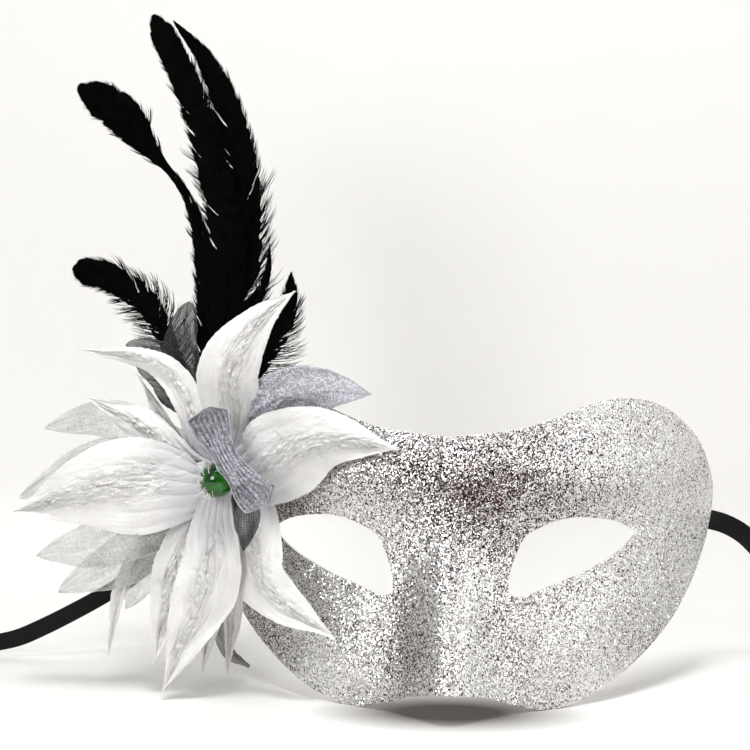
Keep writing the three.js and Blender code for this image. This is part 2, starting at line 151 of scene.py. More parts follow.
# Feathers: width, vane shape, share of loose down, and the shaft's line from base to tip.
FEATHERS = {
    "feather_tall_front": (12, "blade", 0.2, [
        (-84, 29, 91), (-79, 35, 124), (-79, 38, 152), (-83.5, 40, 179), (-91, 41, 204), (-104.5, 42, 232.5)]),
    "feather_tall_back": (16, "pointed", 0.4, [
        (-82, 31, 91), (-74, 41, 141), (-74.5, 44, 169), (-79, 46, 197), (-87, 47, 217), (-98.5, 47, 231)]),
    "feather_paddle": (10, "paddle", 0.1, [
        (-86, 33, 91), (-87, 46, 141), (-92, 50, 164), (-97, 51, 174), (-108, 51, 187), (-119, 50, 200),
        (-133, 49, 209)]),
    "feather_left": (13, "blade", 0.8, [
        (-90, 36, 92), (-95, 39, 107), (-101, 41, 122), (-108, 43, 133), (-121, 43, 142), (-134, 42, 145)]),
    "feather_fluffy_right": (13, "pointed", 1.0, [
        (-79, 34, 92), (-72, 38, 103), (-65, 44, 116), (-59, 50, 130), (-58, 51, 144)]),
    "feather_wisp": (5, "pointed", 0.8, [(-80, 36, 91), (-74, 50, 124), (-67, 54, 143), (-66, 54, 154)]),
}


# ---- small helpers ----
def linear(code):
    """An sRGB hex colour as linear red, green, blue and alpha."""
    parts = [int(code[i : i + 2], 16) / 255 for i in (1, 3, 5)]
    return tuple(c / 12.92 if c <= 0.04045 else ((c + 0.055) / 1.055) ** 2.4 for c in parts) + (1.0,)


def bump(value):
    return np.exp(-value * value)


def smooth(value, low, high):
    t = np.clip((value - low) / (high - low), 0.0, 1.0)
    return t * t * (3 - 2 * t)


def face_depth(x, z):
    """How far the mask's front lies behind the brow, at x and height z."""
    side = np.abs(x)
    wrap = WRAP_DEPTH * (side / HALF_SPAN) ** WRAP_POWER
    down = np.clip((NOSE_TOP - z) / NOSE_LENGTH, 0, 1.1)
    nose = -NOSE_OUT * down * bump(side / (8 + 6 * down))
    socket = 3 * bump((side - 38) / 20) * bump((z - 50) / 16)
    cheek = -2 * bump((side - 36) / 18) * bump((z - 18) / 14)
    brow = -2.5 * bump((z - 78) / 10)
    lean = 4 * (np.maximum(z - 78, 0) / 26) ** 2
    return wrap + nose + socket + cheek + brow + lean


def rest_shift(thickness):
    """The move that brings the point inside the nose bridge to the origin."""
    step = 0.5
    slope_z = (face_depth(0, BRIDGE_HEIGHT + step) - face_depth(0, BRIDGE_HEIGHT - step)) / (2 * step)
    inner = face_depth(0, BRIDGE_HEIGHT) + thickness * math.hypot(1, slope_z)
    return np.array([0.0, -inner, -BRIDGE_HEIGHT])


SHIFT = rest_shift(1.4)


def placed(points):
    """Millimetre points of the mask as metre points of the frame."""
    return (np.asarray(points, dtype=float) + SHIFT) * MM


def deselect_all():
    bpy.ops.object.select_all(action="DESELECT")


def make_active(piece):
    deselect_all()
    piece.select_set(True)
    bpy.context.view_layer.objects.active = piece


def apply_modifiers(piece):
    make_active(piece)
    for modifier in list(piece.modifiers):
        bpy.ops.object.modifier_apply(modifier=modifier.name)


def smooth_shading(piece, degrees=40):
    make_active(piece)
    bpy.ops.object.shade_smooth_by_angle(angle=math.radians(degrees))


def grid(name, columns, rows):
    """A unit grid, with its UV map, whose points are then placed one by one."""
    deselect_all()
    bpy.ops.mesh.primitive_grid_add(x_subdivisions=columns, y_subdivisions=rows, size=1.0)
    piece = bpy.context.object
    piece.name = name
    piece.data.name = name
    return piece


def grid_params(piece):
    flat = np.empty(len(piece.data.vertices) * 3)
    piece.data.vertices.foreach_get("co", flat)
    flat = flat.reshape(-1, 3)
    return flat[:, 0] * 2, flat[:, 1] + 0.5


def set_points(piece, points):
    piece.data.vertices.foreach_set("co", np.asarray(points, dtype=float).ravel())
    piece.data.update()


def scale_uv(piece, width, length):
    """Stretches the UV map so that one unit is one millimetre of cloth."""
    layer = piece.data.uv_layers.active.data
    flat = np.empty(len(layer) * 2)
    layer.foreach_get("uv", flat)
    flat = flat.reshape(-1, 2) * (width, length)
    layer.foreach_set("uv", flat.ravel())


def store(piece, name, values):
    """Keeps one number for each point of the mesh, for a material to read."""
    attribute = piece.data.attributes.new(name, "FLOAT", "POINT")
    attribute.data.foreach_set("value", np.asarray(values, dtype=float))


def solidify(piece, thickness, offset=0.0):
    wall = piece.modifiers.new("wall", "SOLIDIFY")
    wall.thickness = thickness
    wall.offset = offset
    wall.use_even_offset = False
    apply_modifiers(piece)


def mesh_piece(name, points, faces):
    mesh = bpy.data.meshes.new(name)
    mesh.from_pydata([tuple(p) for p in points], [], faces)
    mesh.update()
    piece = bpy.data.objects.new(name, mesh)
    bpy.context.scene.collection.objects.link(piece)
    return piece


def finish_piece(piece, slot, material, *nodes):
    piece.data.materials.clear()
    piece.data.materials.append(material)
    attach(piece, BODY)
    if nodes:
        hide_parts(*nodes)


# ---- smooth lines ----
class Line:
    """A smooth line through given points, measured along its length."""

    def __init__(self, points, samples=400):
        self.points = np.asarray(points, dtype=float)
        raw = np.array([self._at(s / samples) for s in range(samples + 1)])
        steps = np.linalg.norm(np.diff(raw, axis=0), axis=1)
        self.raw = raw
        self.reach = np.concatenate([[0.0], np.cumsum(steps)])
        self.length = self.reach[-1]

    def _at(self, t):
        pts = self.points
        last = len(pts) - 1
        place = last * t
        i = min(int(place), last - 1)
        w = place - i
        p1, p2 = pts[i], pts[i + 1]
        p0 = pts[i - 1] if i > 0 else 2 * pts[0] - pts[1]
        p3 = pts[i + 2] if i + 2 <= last else 2 * pts[last] - pts[last - 1]
        d0, d1, d2 = (max(np.linalg.norm(b - a), 1e-6) ** 0.5 for a, b in ((p0, p1), (p1, p2), (p2, p3)))
        t1 = ((p1 - p0) / d0 - (p2 - p0) / (d0 + d1) + (p2 - p1) / d1) * d1
        t2 = ((p2 - p1) / d1 - (p3 - p1) / (d1 + d2) + (p3 - p2) / d2) * d1
        return p1 + t1 * w + (3 * (p2 - p1) - 2 * t1 - t2) * w**2 + (2 * (p1 - p2) + t1 + t2) * w**3

    def at(self, t):
        """Points at the shares t of the length, one row each."""
        want = np.clip(np.asarray(t, dtype=float), 0, 1) * self.length
        return np.stack([np.interp(want, self.reach, self.raw[:, k]) for k in range(3)], axis=1)

    def along(self, t):
        t = np.asarray(t, dtype=float)
        way = self.at(np.minimum(t + 0.01, 1)) - self.at(np.maximum(t - 0.01, 0))
        return way / np.linalg.norm(way, axis=1, keepdims=True)


def unit(rows):
    return rows / np.linalg.norm(rows, axis=1, keepdims=True)


def blade_frame(line, t):
    """Point, way along, way across and facing of a blade that faces the viewer, for each t."""
    along = line.along(t)
    across = unit(np.cross(along, np.array([0.0, 1.0, 0.0])))
    facing = unit(np.cross(across, along))
    return line.at(t), along, across, facing


def smooth_loop(points, steps):
    """Points of a plane curve through the given points, with even steps between them."""
    pts = np.asarray(points, dtype=float)
    last = len(pts) - 1
    found = []
    for s in range(steps + 1):
        place = last * s / steps
        i = min(int(place), last - 1)
        w = place - i
        p0, p1 = pts[max(i - 1, 0)], pts[i]
        p2, p3 = pts[i + 1], pts[min(i + 2, last)]
        v0, v1 = (p2 - p0) * 0.5, (p3 - p1) * 0.5
        cubic = (2 * p1 - 2 * p2 + v0 + v1) * w**3
        square = (-3 * p1 + 3 * p2 - 2 * v0 - v1) * w**2
        found.append(cubic + square + v0 * w + p1)
    return found


# ---- materials ----
PER_MM = (1 / MM,) * 3  # makes one unit of a pattern one millimetre


def add_node(tree, kind, *values, stops=(), out=0, **given):
    """Adds one node and returns an output, or all with out=None. Sockets given as values are linked."""
    node = tree.nodes.new("ShaderNode" + kind)
    for key in [key for key in given if key[0].islower()]:
        setattr(node, key, given.pop(key))
    for index, (place, colour) in enumerate(stops):
        elements = node.color_ramp.elements
        element = elements[index] if index < len(elements) else elements.new(place)
        element.position, element.color = place, colour
    named = [(node.inputs[key.replace("_", " ")], value) for key, value in given.items()]
    for socket, value in [*zip(node.inputs, values), *named]:
        if isinstance(value, bpy.types.NodeSocket):
            tree.links.new(value, socket)
        else:
            socket.default_value = value
    return node.outputs if out is None else node.outputs[out] if node.outputs else node


def new_material(name):
    """An empty material, and the node-adding function bound to its tree."""
    material = bpy.data.materials.new(name)
    material.use_nodes = True
    material.node_tree.nodes.clear()
    return material, functools.partial(add_node, material.node_tree)


def shade(colour, share):
    """The colour, with its red, green and blue multiplied by share."""
    return tuple(min(1.0, c * share) for c in colour[:3]) + (1.0,)


# Painted shade and painted dark reflections: dark flakes lie denser where the flower's shadow and the shade on
# the left side and the nose's flanks fall, and where the brow mirrors the dark room in front: x and height in
# the mask's millimetres, the reach of each, the added share.
PAINTED_SHADE_PATCHES = (
    ((14.0, 73.0), (50.0, 28.0), 0.48),
    ((-14.0, 82.0), (34.0, 16.0), 0.16),
    ((-13.0, 20.0), (13.0, 32.0), 0.26),
    ((15.0, 28.0), (13.0, 34.0), 0.16),
    ((-72.0, 32.0), (26.0, 46.0), 0.36),
    ((-60.0, 70.0), (22.0, 22.0), 0.4),
)
FLAKE = 0.36  # millimetres across; the finest real flakes are 0.2 and would not show one by one
SPECK_SHARE = 0.12  # share of flakes that lie dark, away from any light
FLAKE_TILT = 0.7


def silver_glitter():
    """Polyester glitter glued flake by flake: tiny tilted mirrors, with dark ones strewn among the pale, and
    laid denser where shade and dark reflections are painted.
    """
    material, add = new_material("silver_glitter")
    pale, dark = colours().glitter_pale, colours().glitter_dark
    place = add("TexCoord", out="Object")
    flakes = add("Mapping", place, Scale=(1 / (FLAKE * MM),) * 3)
    cell = add("TexVoronoi", flakes, feature="F1", Scale=1.0, Randomness=1.0, out="Color")
    tone = add("SeparateColor", cell, out=None)
    bright = add("ValToRGB", tone[0], stops=[
        (0.0, shade(pale, 0.42)), (0.22, shade(pale, 0.69)), (0.6, shade(pale, 0.88)), (1.0, shade(pale, 1.0))])
    specks = add("ValToRGB", tone[1], stops=[
        (0.0, shade(dark, 0.06)), (0.5, shade(dark, 0.3)), (0.8, shade(dark, 1.0)), (1.0, shade(dark, 2.4))])
    patchy = add("TexNoise", add("Mapping", place, Scale=PER_MM), Scale=0.06, Detail=2.0)
    share = add("MapRange", patchy, 0.35, 0.65, SPECK_SHARE - 0.05, SPECK_SHARE + 0.07)
    # Painted shade and painted dark reflection: each patch adds dark flakes towards its centre.
    for (x, height), (reach_x, reach_z), extra in PAINTED_SHADE_PATCHES:
        centre = placed([(x, 0.0, height)])[0]
        offset = add("VectorMath", place, tuple(centre), operation="SUBTRACT")
        scaled = add("VectorMath", offset, (reach_x * MM, 1.0, reach_z * MM), operation="DIVIDE")
        away = add("VectorMath", scaled, operation="LENGTH", out="Value")
        painted_shade = add("MapRange", away, 0.1, 1.0, extra, 0.0)
        share = add("Math", share, painted_shade, operation="ADD")
    is_dark = add("Math", tone[2], share, operation="LESS_THAN")
    colour = add("Mix", data_type="RGBA", Factor=is_dark, A=bright, B=specks, out="Result")
    spread = add("VectorMath", cell, (0.5, 0.5, 0.5), operation="SUBTRACT")
    tilt = add("VectorMath", spread, operation="SCALE", Scale=FLAKE_TILT)
    lean = add("VectorMath", add("NewGeometry", out="Normal"), tilt, operation="ADD")
    facing = add("VectorMath", lean, operation="NORMALIZE")
    shine = add("MapRange", tone[1], 0.0, 1.0, 0.12, 0.34)
    add("OutputMaterial", add("BsdfPrincipled", Base_Color=colour, Roughness=shine, Normal=facing, Metallic=0.8))
    return material


def moulded_plastic():
    """Vacuum formed white plastic, bare inside the mask: a soft gloss with faint mould texture."""
    material, add = new_material("moulded_white_plastic")
    white = colours().plastic
    where = add("Mapping", add("TexCoord", out="Object"), Scale=PER_MM)
    grain = add("TexNoise", where, Scale=1.6, Detail=3.0)
    broad = add("TexNoise", where, Scale=0.05, Detail=2.0)
    colour = add("ValToRGB", broad, stops=[(0.3, shade(white, 0.86)), (0.7, white)])
    gloss = add("MapRange", grain, 0.3, 0.7, 0.4, 0.55)
    relief = add("Bump", Height=grain, Distance=0.05 * MM, Strength=0.5)
    add("OutputMaterial", add("BsdfPrincipled", Base_Color=colour, Roughness=gloss, Normal=relief))
    return material


def white_satin():
    """Polyester satin, heat pressed: softly shining, with crushed silvery veins along the middle."""
    material, add = new_material("white_satin")
    white = colours().satin
    cloth = add("TexCoord", out="UV")
    wrinkle = add("TexNoise", add("Mapping", cloth, Scale=(1, 0.3, 1)), noise_dimensions="2D",
                  Scale=0.5, Detail=4.0, Roughness=0.6, Distortion=1.2)
    cloud = add("TexNoise", cloth, noise_dimensions="2D", Scale=0.09, Detail=2.0)
    grain = add("TexNoise", cloth, noise_dimensions="2D", Scale=2.2, Detail=1.0)
    vein = add("Attribute", attribute_name="vein", out="Fac")
    foot = add("Attribute", attribute_name="foot", out="Fac")
    offset = add("Math", add("Math", wrinkle, 0.5, operation="SUBTRACT"), operation="ABSOLUTE")
    crease = add("MapRange", offset, 0.0, 0.035, 1.0, 0.0)
    silver = add("Math", crease, add("MapRange", vein, 0.1, 0.7, 0.0, 0.5), operation="MULTIPLY")
    pale = add("ValToRGB", cloud, stops=[(0.35, shade(white, 0.88)), (0.65, white)])
    # Painted shade: the gathered foot of each petal is tinted lavender grey, where shade falls between the
    # petals.
    satin_foot_shade = add("Mix", data_type="RGBA", Factor=add("MapRange", foot, 0.0, 1.0, 0.0, 0.6),
                 A=pale, B=linear("#b4b3bf"), out="Result")
    colour = add("Mix", data_type="RGBA", Factor=silver, A=satin_foot_shade, B=linear("#9c9ca1"), out="Result")
    depth = add("MapRange", vein, 0.0, 0.6, 0.3, 3.4)
    crumple = add("Math", wrinkle, depth, operation="MULTIPLY")
    height = add("Math", crumple, add("Math", grain, 0.12, operation="MULTIPLY"), operation="ADD")
    add("OutputMaterial", add(
        "BsdfPrincipled", Base_Color=colour, Roughness=add("MapRange", silver, 0.0, 1.0, 0.42, 0.2),
        Metallic=add("MapRange", silver, 0.0, 1.0, 0.0, 0.7), Sheen_Weight=0.08, Sheen_Roughness=0.4,
        Normal=add("Bump", Height=height, Distance=0.6 * MM, Strength=0.7)))
    return material


THREAD = 0.55  # millimetres between organza threads; the real 0.2 would blur away


def sheer_cloth(name, colour, low, high, open_cover, thread_cover):
    """Organza: fine stiff threads with open gaps, glinting here and there, that show what lies behind."""
    material, add = new_material(name)
    cloth = add("TexCoord", out="UV")
    where = add("Mapping", cloth, Scale=(1 / THREAD, 1 / THREAD, 1.0))
    threads = []
    for axis in add("SeparateXYZ", where, out=None)[:2]:
        wave = add("Math", add("Math", axis, math.tau, operation="MULTIPLY"), operation="SINE")
        threads.append(add("MapRange", wave, -0.2, 0.9, 0.0, 1.0))
    weave = add("Math", *threads, operation="MAXIMUM")
    glint = add("TexWhiteNoise", add("VectorMath", where, operation="FLOOR"), noise_dimensions="2D")
    long_way = add("Mapping", cloth, Scale=(0.5, 0.12, 1))
    cloud = add("TexNoise", long_way, noise_dimensions="2D", Scale=0.7, Detail=3.0)
    edge = add("Attribute", attribute_name="edge", out="Fac")
    foot = add("Attribute", attribute_name="foot", out="Fac")
    hem = add("MapRange", edge, 0.92, 0.97, 0.0, 0.6)
    spark = add("Math", glint, 0.65, operation="MULTIPLY")
    drift = add("Math", cloud, 0.35, operation="MULTIPLY")
    shimmer = add("ValToRGB", add("Math", spark, drift, operation="ADD"), stops=[
        (0.15, shade(colour, low)), (0.5, shade(colour, 1.0)), (0.8, shade(colour, high))])
    # Painted shade: the gathered foot is darkened, where shade falls among the layers.
    organza_foot_shade = add("Mix", data_type="RGBA", Factor=add("MapRange", foot, 0.0, 1.0, 0.0, 0.7),
                   A=shimmer, B=shade(colour, low * low), out="Result")
    base = add("Mix", data_type="RGBA", Factor=hem, A=organza_foot_shade, B=shade(colour, high), out="Result")
    cover = add("MapRange", weave, 0.0, 1.0, open_cover, thread_cover)
    for more in (add("MapRange", foot, 0.0, 1.0, 0.0, 0.3), add("Math", hem, 0.3, operation="MULTIPLY"),
                 add("MapRange", cloud, 0.35, 0.75, -0.12, 0.15)):
        cover = add("Math", cover, more, operation="ADD", use_clamp=True)
    add("OutputMaterial", add(
        "BsdfPrincipled", Base_Color=base, Alpha=cover, Roughness=add("MapRange", glint, 0.0, 1.0, 0.6, 0.3),
        Sheen_Weight=0.05, Normal=add("Bump", Height=weave, Distance=0.1 * MM, Strength=0.6)))
    return material


def black_satin():
    """Polyester satin ribbon: warp floats give a soft stripe of shine along its length."""
    material, add = new_material("black_satin_ribbon")
    black = colours().ribbon
    cloth = add("TexCoord", out="UV")
    streaks = add("Mapping", cloth, Scale=(5.0, 0.4, 1))
    floats = add("TexNoise", streaks, noise_dimensions="2D", Scale=1.0, Detail=2.0)
    ribs = add("TexWave", cloth, wave_type="BANDS", bands_direction="Y", Scale=1.2, out=1)
    edge = add("Attribute", attribute_name="edge", out="Fac")
    tone = add("ValToRGB", floats, stops=[(0.3, shade(black, 0.25)), (0.7, black)])
    selvedge = add("MapRange", edge, 0.86, 0.93, 0.0, 1.0)
    colour = add("Mix", data_type="RGBA", Factor=selvedge, A=tone, B=shade(black, 1.6), out="Result")
    height = add("Math", add("Math", ribs, 0.4, operation="MULTIPLY"), floats, operation="ADD")
    add("OutputMaterial", add(
        "BsdfPrincipled", Base_Color=colour, Roughness=add("MapRange", floats, 0.3, 0.7, 0.42, 0.58),
        Specular_IOR_Level=0.2, Normal=add("Bump", Height=height, Distance=0.06 * MM, Strength=0.6)))
    return material


def pressed_felt():
    """White craft felt: matted fibres, matt, with a faint fuzz."""
    material, add = new_material("pressed_white_felt")
    white = colours().felt
    where = add("Mapping", add("TexCoord", out="Object"), Scale=PER_MM)
    fibres = add("TexNoise", where, Scale=2.4, Detail=6.0, Distortion=1.6)
    colour = add("ValToRGB", fibres, stops=[(0.3, shade(white, 0.7)), (0.6, white)])
    add("OutputMaterial", add("BsdfPrincipled", Base_Color=colour, Roughness=0.95, Sheen_Weight=0.4,
                              Normal=add("Bump", Height=fibres, Distance=0.3 * MM, Strength=0.7)))
    return material


def green_acrylic():
    """Translucent moulded acrylic bead, glossy, darker in soft random patches."""
    material, add = new_material("green_acrylic")
    green = colours().bead
    where = add("Mapping", add("TexCoord", out="Object"), Scale=PER_MM)
    cloud = add("TexNoise", where, Scale=0.25, Detail=2.0)
    colour = add("ValToRGB", cloud, stops=[(0.35, shade(green, 0.25)), (0.65, green)])
    add("OutputMaterial", add(
        "BsdfPrincipled", Base_Color=colour, Roughness=add("MapRange", cloud, 0.3, 0.7, 0.06, 0.14), IOR=1.49,
        Coat_Weight=0.4, Coat_Roughness=0.05, Transmission_Weight=0.25))
    return material


def spun_thread():
    """Loose polyester warp threads, bright white with a slight twist."""
    material, add = new_material("white_polyester_thread")
    white = colours().satin
    where = add("Mapping", add("TexCoord", out="Object"), Scale=PER_MM)
    twist = add("TexWave", where, bands_direction="DIAGONAL", Scale=2.0, out=1)
    colour = add("ValToRGB", twist, stops=[(0.2, shade(white, 0.85)), (0.8, white)])
    add("OutputMaterial", add("BsdfPrincipled", Base_Color=colour, Roughness=0.5))
    return material


def wire_cover():
    """Green plastic drawn over wire, slightly ribbed."""
    material, add = new_material("green_covered_wire")
    where = add("Mapping", add("TexCoord", out="Object"), Scale=PER_MM)
    ribs = add("TexWave", where, bands_direction="Y", Scale=0.8, Distortion=1.0, out=1)
    colour = add("ValToRGB", ribs, stops=[(0.2, linear("#26401d")), (0.8, linear("#42632f"))])
    add("OutputMaterial", add("BsdfPrincipled", Base_Color=colour, Roughness=0.55,
                              Normal=add("Bump", Height=ribs, Distance=0.1 * MM)))
    return material


def crepe_tape():
    """Dark green crepe paper tape, wound on, with fine crinkles."""
    material, add = new_material("green_crepe_tape")
    where = add("Mapping", add("TexCoord", out="Object"), Scale=(1 / MM, 1 / MM, 3 / MM))
    crinkle = add("TexNoise", where, Scale=1.4, Detail=4.0)
    colour = add("ValToRGB", crinkle, stops=[(0.3, linear("#10180c")), (0.7, linear("#2c3a22"))])
    add("OutputMaterial", add("BsdfPrincipled", Base_Color=colour, Roughness=0.8,
                              Normal=add("Bump", Height=crinkle, Distance=0.25 * MM)))
    return material


def melt_glue():
    """Hot melt glue: cloudy, waxy and slightly yellow, with set-in flow marks."""
    material, add = new_material("hot_melt_glue")
    where = add("Mapping", add("TexCoord", out="Object"), Scale=PER_MM)
    flow = add("TexNoise", where, Scale=0.5, Detail=2.0, Distortion=1.0)
    colour = add("ValToRGB", flow, stops=[(0.3, linear("#d8d2bd")), (0.7, linear("#ece8da"))])
    add("OutputMaterial", add("BsdfPrincipled", Base_Color=colour, Roughness=0.3, Subsurface_Weight=0.3,
                              Normal=add("Bump", Height=flow, Distance=0.3 * MM)))
    return material


def dyed_feather():
    """Black dyed feather: matt barbs with a faint green gloss where light grazes them."""
    material, add = new_material("black_feather_barbs")
    black = colours().feather
    where = add("Mapping", add("TexCoord", out="Object"), Scale=PER_MM)
    mottle = add("TexNoise", where, Scale=0.35, Detail=3.0)
    down = add("Attribute", attribute_name="down", out="Fac")
    dark = add("ValToRGB", mottle, stops=[(0.35, shade(black, 0.2)), (0.75, black)])
    colour = add("Mix", data_type="RGBA", Factor=down, A=dark, B=shade(black, 4.0), out="Result")
    add("OutputMaterial", add(
        "BsdfPrincipled", Base_Color=colour, Roughness=add("MapRange", mottle, 0.3, 0.7, 0.4, 0.6),
        Specular_IOR_Level=0.01, Sheen_Weight=0.002, Sheen_Tint=linear("#3f5f50")))
    return material


BOARD_FADE = (0.45, 0.85)  # metres from the middle over which the board gives way to the pale surroundings
PAINTED_SHADOW_REACH = (0.047, 0.025, 0.02)  # the reach of the soft shadow painted on the board where the nose arch stands over it


def painted_board(middle):
    """Matt painted board, almost white: clear far off and from its back, with a shadow painted under the nose
    arch.
    """
    material, add = new_material("painted_board")
    white = colours().board
    place = add("TexCoord", out="Object")
    cloud = add("TexNoise", place, Scale=3.0, Detail=2.0)
    colour = add("ValToRGB", cloud, stops=[(0.3, shade(white, 0.97)), (0.7, white)])
    from_middle = add("VectorMath", place, middle, operation="SUBTRACT")
    scaled = add("VectorMath", from_middle, PAINTED_SHADOW_REACH, operation="DIVIDE")
    under_nose = add("VectorMath", scaled, operation="LENGTH", out="Value")
    # Painted shadow: the board darkens to a dark brown under the nose arch, where the mask's own shadow falls.
    painted_shadow = add("MapRange", under_nose, 0.35, 1.0, 0.95, 0.0)
    colour = add("Mix", data_type="RGBA", Factor=painted_shadow, A=colour, B=linear("#382f27"), out="Result")
    away = add("VectorMath", from_middle, operation="LENGTH", out="Value")
    faded = add("MapRange", away, *BOARD_FADE, 0.0, 1.0)
    clear = add("Math", faded, add("NewGeometry", out="Backfacing"), operation="MAXIMUM")
    paint = add("BsdfPrincipled", Base_Color=colour, Roughness=0.75)
    add("OutputMaterial", add("MixShader", clear, paint, add("BsdfTransparent")))
    return material


# ---- settings that a user would change ----
class MaskSizes(bpy.types.PropertyGroup):
    shell_thickness: bpy.props.FloatProperty(
        name="Shell Thickness", description="Thickness of the moulded shell", default=1.4 * MM,
        min=0.5 * MM, max=4 * MM, subtype="DISTANCE", unit="LENGTH")
    shell_step: bpy.props.FloatProperty(
        name="Shell Step", description="Spacing of the shell's mesh", default=1.0 * MM,
        min=0.4 * MM, max=5 * MM, subtype="DISTANCE", unit="LENGTH")
    ribbon_width: bpy.props.FloatProperty(
        name="Ribbon Width", description="Width of the tie ribbons", default=7 * MM,
        min=3 * MM, max=20 * MM, subtype="DISTANCE", unit="LENGTH")
    ribbon_length: bpy.props.FloatProperty(
        name="Ribbon Length", description="Length of each tie ribbon", default=0.42,
        min=0.2, max=1.0, subtype="DISTANCE", unit="LENGTH")
    satin_thickness: bpy.props.FloatProperty(
        name="Satin Thickness", description="Thickness of a pressed satin petal", default=0.3 * MM,
        min=0.1 * MM, max=1 * MM, subtype="DISTANCE", unit="LENGTH")
    organza_thickness: bpy.props.FloatProperty(
        name="Organza Thickness", description="Thickness of a sheer petal", default=0.12 * MM,
        min=0.05 * MM, max=1 * MM, subtype="DISTANCE", unit="LENGTH")
    barb_spacing: bpy.props.FloatProperty(
        name="Barb Spacing", description="Distance between barbs along a feather's shaft", default=0.2 * MM,
        min=0.1 * MM, max=2 * MM, subtype="DISTANCE", unit="LENGTH")


class MaskColours(bpy.types.PropertyGroup):
    glitter_pale: bpy.props.FloatVectorProperty(
        name="Pale Glitter", description="Flakes that catch the light", default=linear("#f7f6f4"),
        min=0.0, max=1.0, size=4, subtype="COLOR")
    glitter_dark: bpy.props.FloatVectorProperty(
        name="Dark Glitter", description="Flakes that lie away from the light", default=linear("#4f3236"),
        min=0.0, max=1.0, size=4, subtype="COLOR")
    plastic: bpy.props.FloatVectorProperty(
        name="Plastic", description="Bare plastic inside the shell", default=linear("#e9e8e5"),
        min=0.0, max=1.0, size=4, subtype="COLOR")
    satin: bpy.props.FloatVectorProperty(
        name="Satin", description="Pressed satin petals", default=linear("#f6f5f3"),
        min=0.0, max=1.0, size=4, subtype="COLOR")
    lavender_organza: bpy.props.FloatVectorProperty(
        name="Lavender Organza", description="Sheer petals on the right and over the bead",
        default=linear("#b6b5bf"), min=0.0, max=1.0, size=4, subtype="COLOR")
    pale_organza: bpy.props.FloatVectorProperty(
        name="Pale Organza", description="Sheer petals on the left", default=linear("#cdcecd"),
        min=0.0, max=1.0, size=4, subtype="COLOR")
    black_organza: bpy.props.FloatVectorProperty(
        name="Black Organza", description="Dark sheer loops and folds", default=linear("#1d1d21"),
        min=0.0, max=1.0, size=4, subtype="COLOR")
    ribbon: bpy.props.FloatVectorProperty(
        name="Ribbon", description="Tie ribbons", default=linear("#070708"),
        min=0.0, max=1.0, size=4, subtype="COLOR")
    feather: bpy.props.FloatVectorProperty(
        name="Feather", description="Dyed feathers", default=linear("#070a08"),
        min=0.0, max=1.0, size=4, subtype="COLOR")
    bead: bpy.props.FloatVectorProperty(
        name="Bead", description="The bead in the flower", default=linear("#1f8412"),
        min=0.0, max=1.0, size=4, subtype="COLOR")
    felt: bpy.props.FloatVectorProperty(
        name="Felt", description="Felt tabs and disc", default=linear("#e6e5e1"),
        min=0.0, max=1.0, size=4, subtype="COLOR")
    board: bpy.props.FloatVectorProperty(
        name="Board", description="Table and wall", default=linear("#f5f4f1"),
        min=0.0, max=1.0, size=4, subtype="COLOR")


class MaskStageSettings(bpy.types.PropertyGroup):
    camera_distance: bpy.props.FloatProperty(
        name="Camera Distance", description="From the camera to the point it looks at", default=0.59,
        min=0.2, max=3.0, subtype="DISTANCE", unit="LENGTH")
    camera_azimuth: bpy.props.FloatProperty(
        name="Camera Azimuth", description="Turn of the camera to the right of the front",
        default=math.radians(4.7), subtype="ANGLE", unit="ROTATION")
    camera_elevation: bpy.props.FloatProperty(
        name="Camera Elevation", description="Height of the camera as an angle",
        default=math.radians(4.0), subtype="ANGLE", unit="ROTATION")
    focal_length: bpy.props.FloatProperty(
        name="Focal Length", description="Lens of the camera in millimetres", default=85.0,
        min=20, max=200, unit="CAMERA")
    wall_distance: bpy.props.FloatProperty(
        name="Wall Distance", description="From the brow back to the wall", default=0.226,
        min=0.1, max=3.0, subtype="DISTANCE", unit="LENGTH")


def sizes():
    return bpy.context.scene.mask_sizes


def colours():
    return bpy.context.scene.mask_colours


# ---- the stage ----
VIEW_CENTRE = (-26.0, 20.0, 110.0)  # what the camera looks at, in the mask's millimetres


def build_camera(settings):
    target = Vector(placed([VIEW_CENTRE])[0])
    turn, rise = settings.camera_azimuth, settings.camera_elevation
    way = Vector((math.sin(turn) * math.cos(rise), -math.cos(turn) * math.cos(rise), math.sin(rise)))
    deselect_all()
    bpy.ops.object.camera_add(location=target + way * settings.camera_distance)
    camera = bpy.context.object
    camera.name = "camera"
    camera.rotation_euler = (-way).to_track_quat("-Z", "Y").to_euler()
    camera.data.lens = settings.focal_length
    camera.data.clip_start = 0.01
    bpy.context.scene.camera = camera


COVE_RADIUS = 0.045  # the sweep between table and wall
BACKDROP_REACH = 1.0


def build_stage(settings):
    """One swept sheet of board: table in front, a soft cove, wall behind, which is clear from its back."""
    floor_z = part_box("mask_shell")[0][2]
    wall_y = placed([(0, 0, 0)])[0][1] + settings.wall_distance
    turn = np.linspace(0, math.pi / 2, 17)
    profile = [(wall_y - 2 * BACKDROP_REACH, floor_z)]
    profile += [
        (wall_y - COVE_RADIUS * (1 - math.sin(a)), floor_z + COVE_RADIUS * (1 - math.cos(a))) for a in turn]
    profile += [(wall_y, floor_z + 2 * BACKDROP_REACH)]
    piece = grid("backdrop", 1, len(profile) - 1)
    u, v = grid_params(piece)
    spots = np.array(profile)[np.rint(v * (len(profile) - 1)).astype(int)]
    set_points(piece, np.column_stack([u * BACKDROP_REACH, spots]))
    smooth_shading(piece, 30)
    middle = (0.0, placed([(0, 0, 0)])[0][1], floor_z)
    piece.data.materials.append(painted_board(middle))


def soft_light(name, size, location, aim, power):
    deselect_all()
    bpy.ops.object.light_add(type="AREA", location=location)
    light = bpy.context.object
    light.name = name
    light.data.shape = "DISK"
    light.data.size = size
    light.data.energy = power
    way = Vector(aim) - Vector(location)
    light.rotation_euler = way.to_track_quat("-Z", "Y").to_euler()


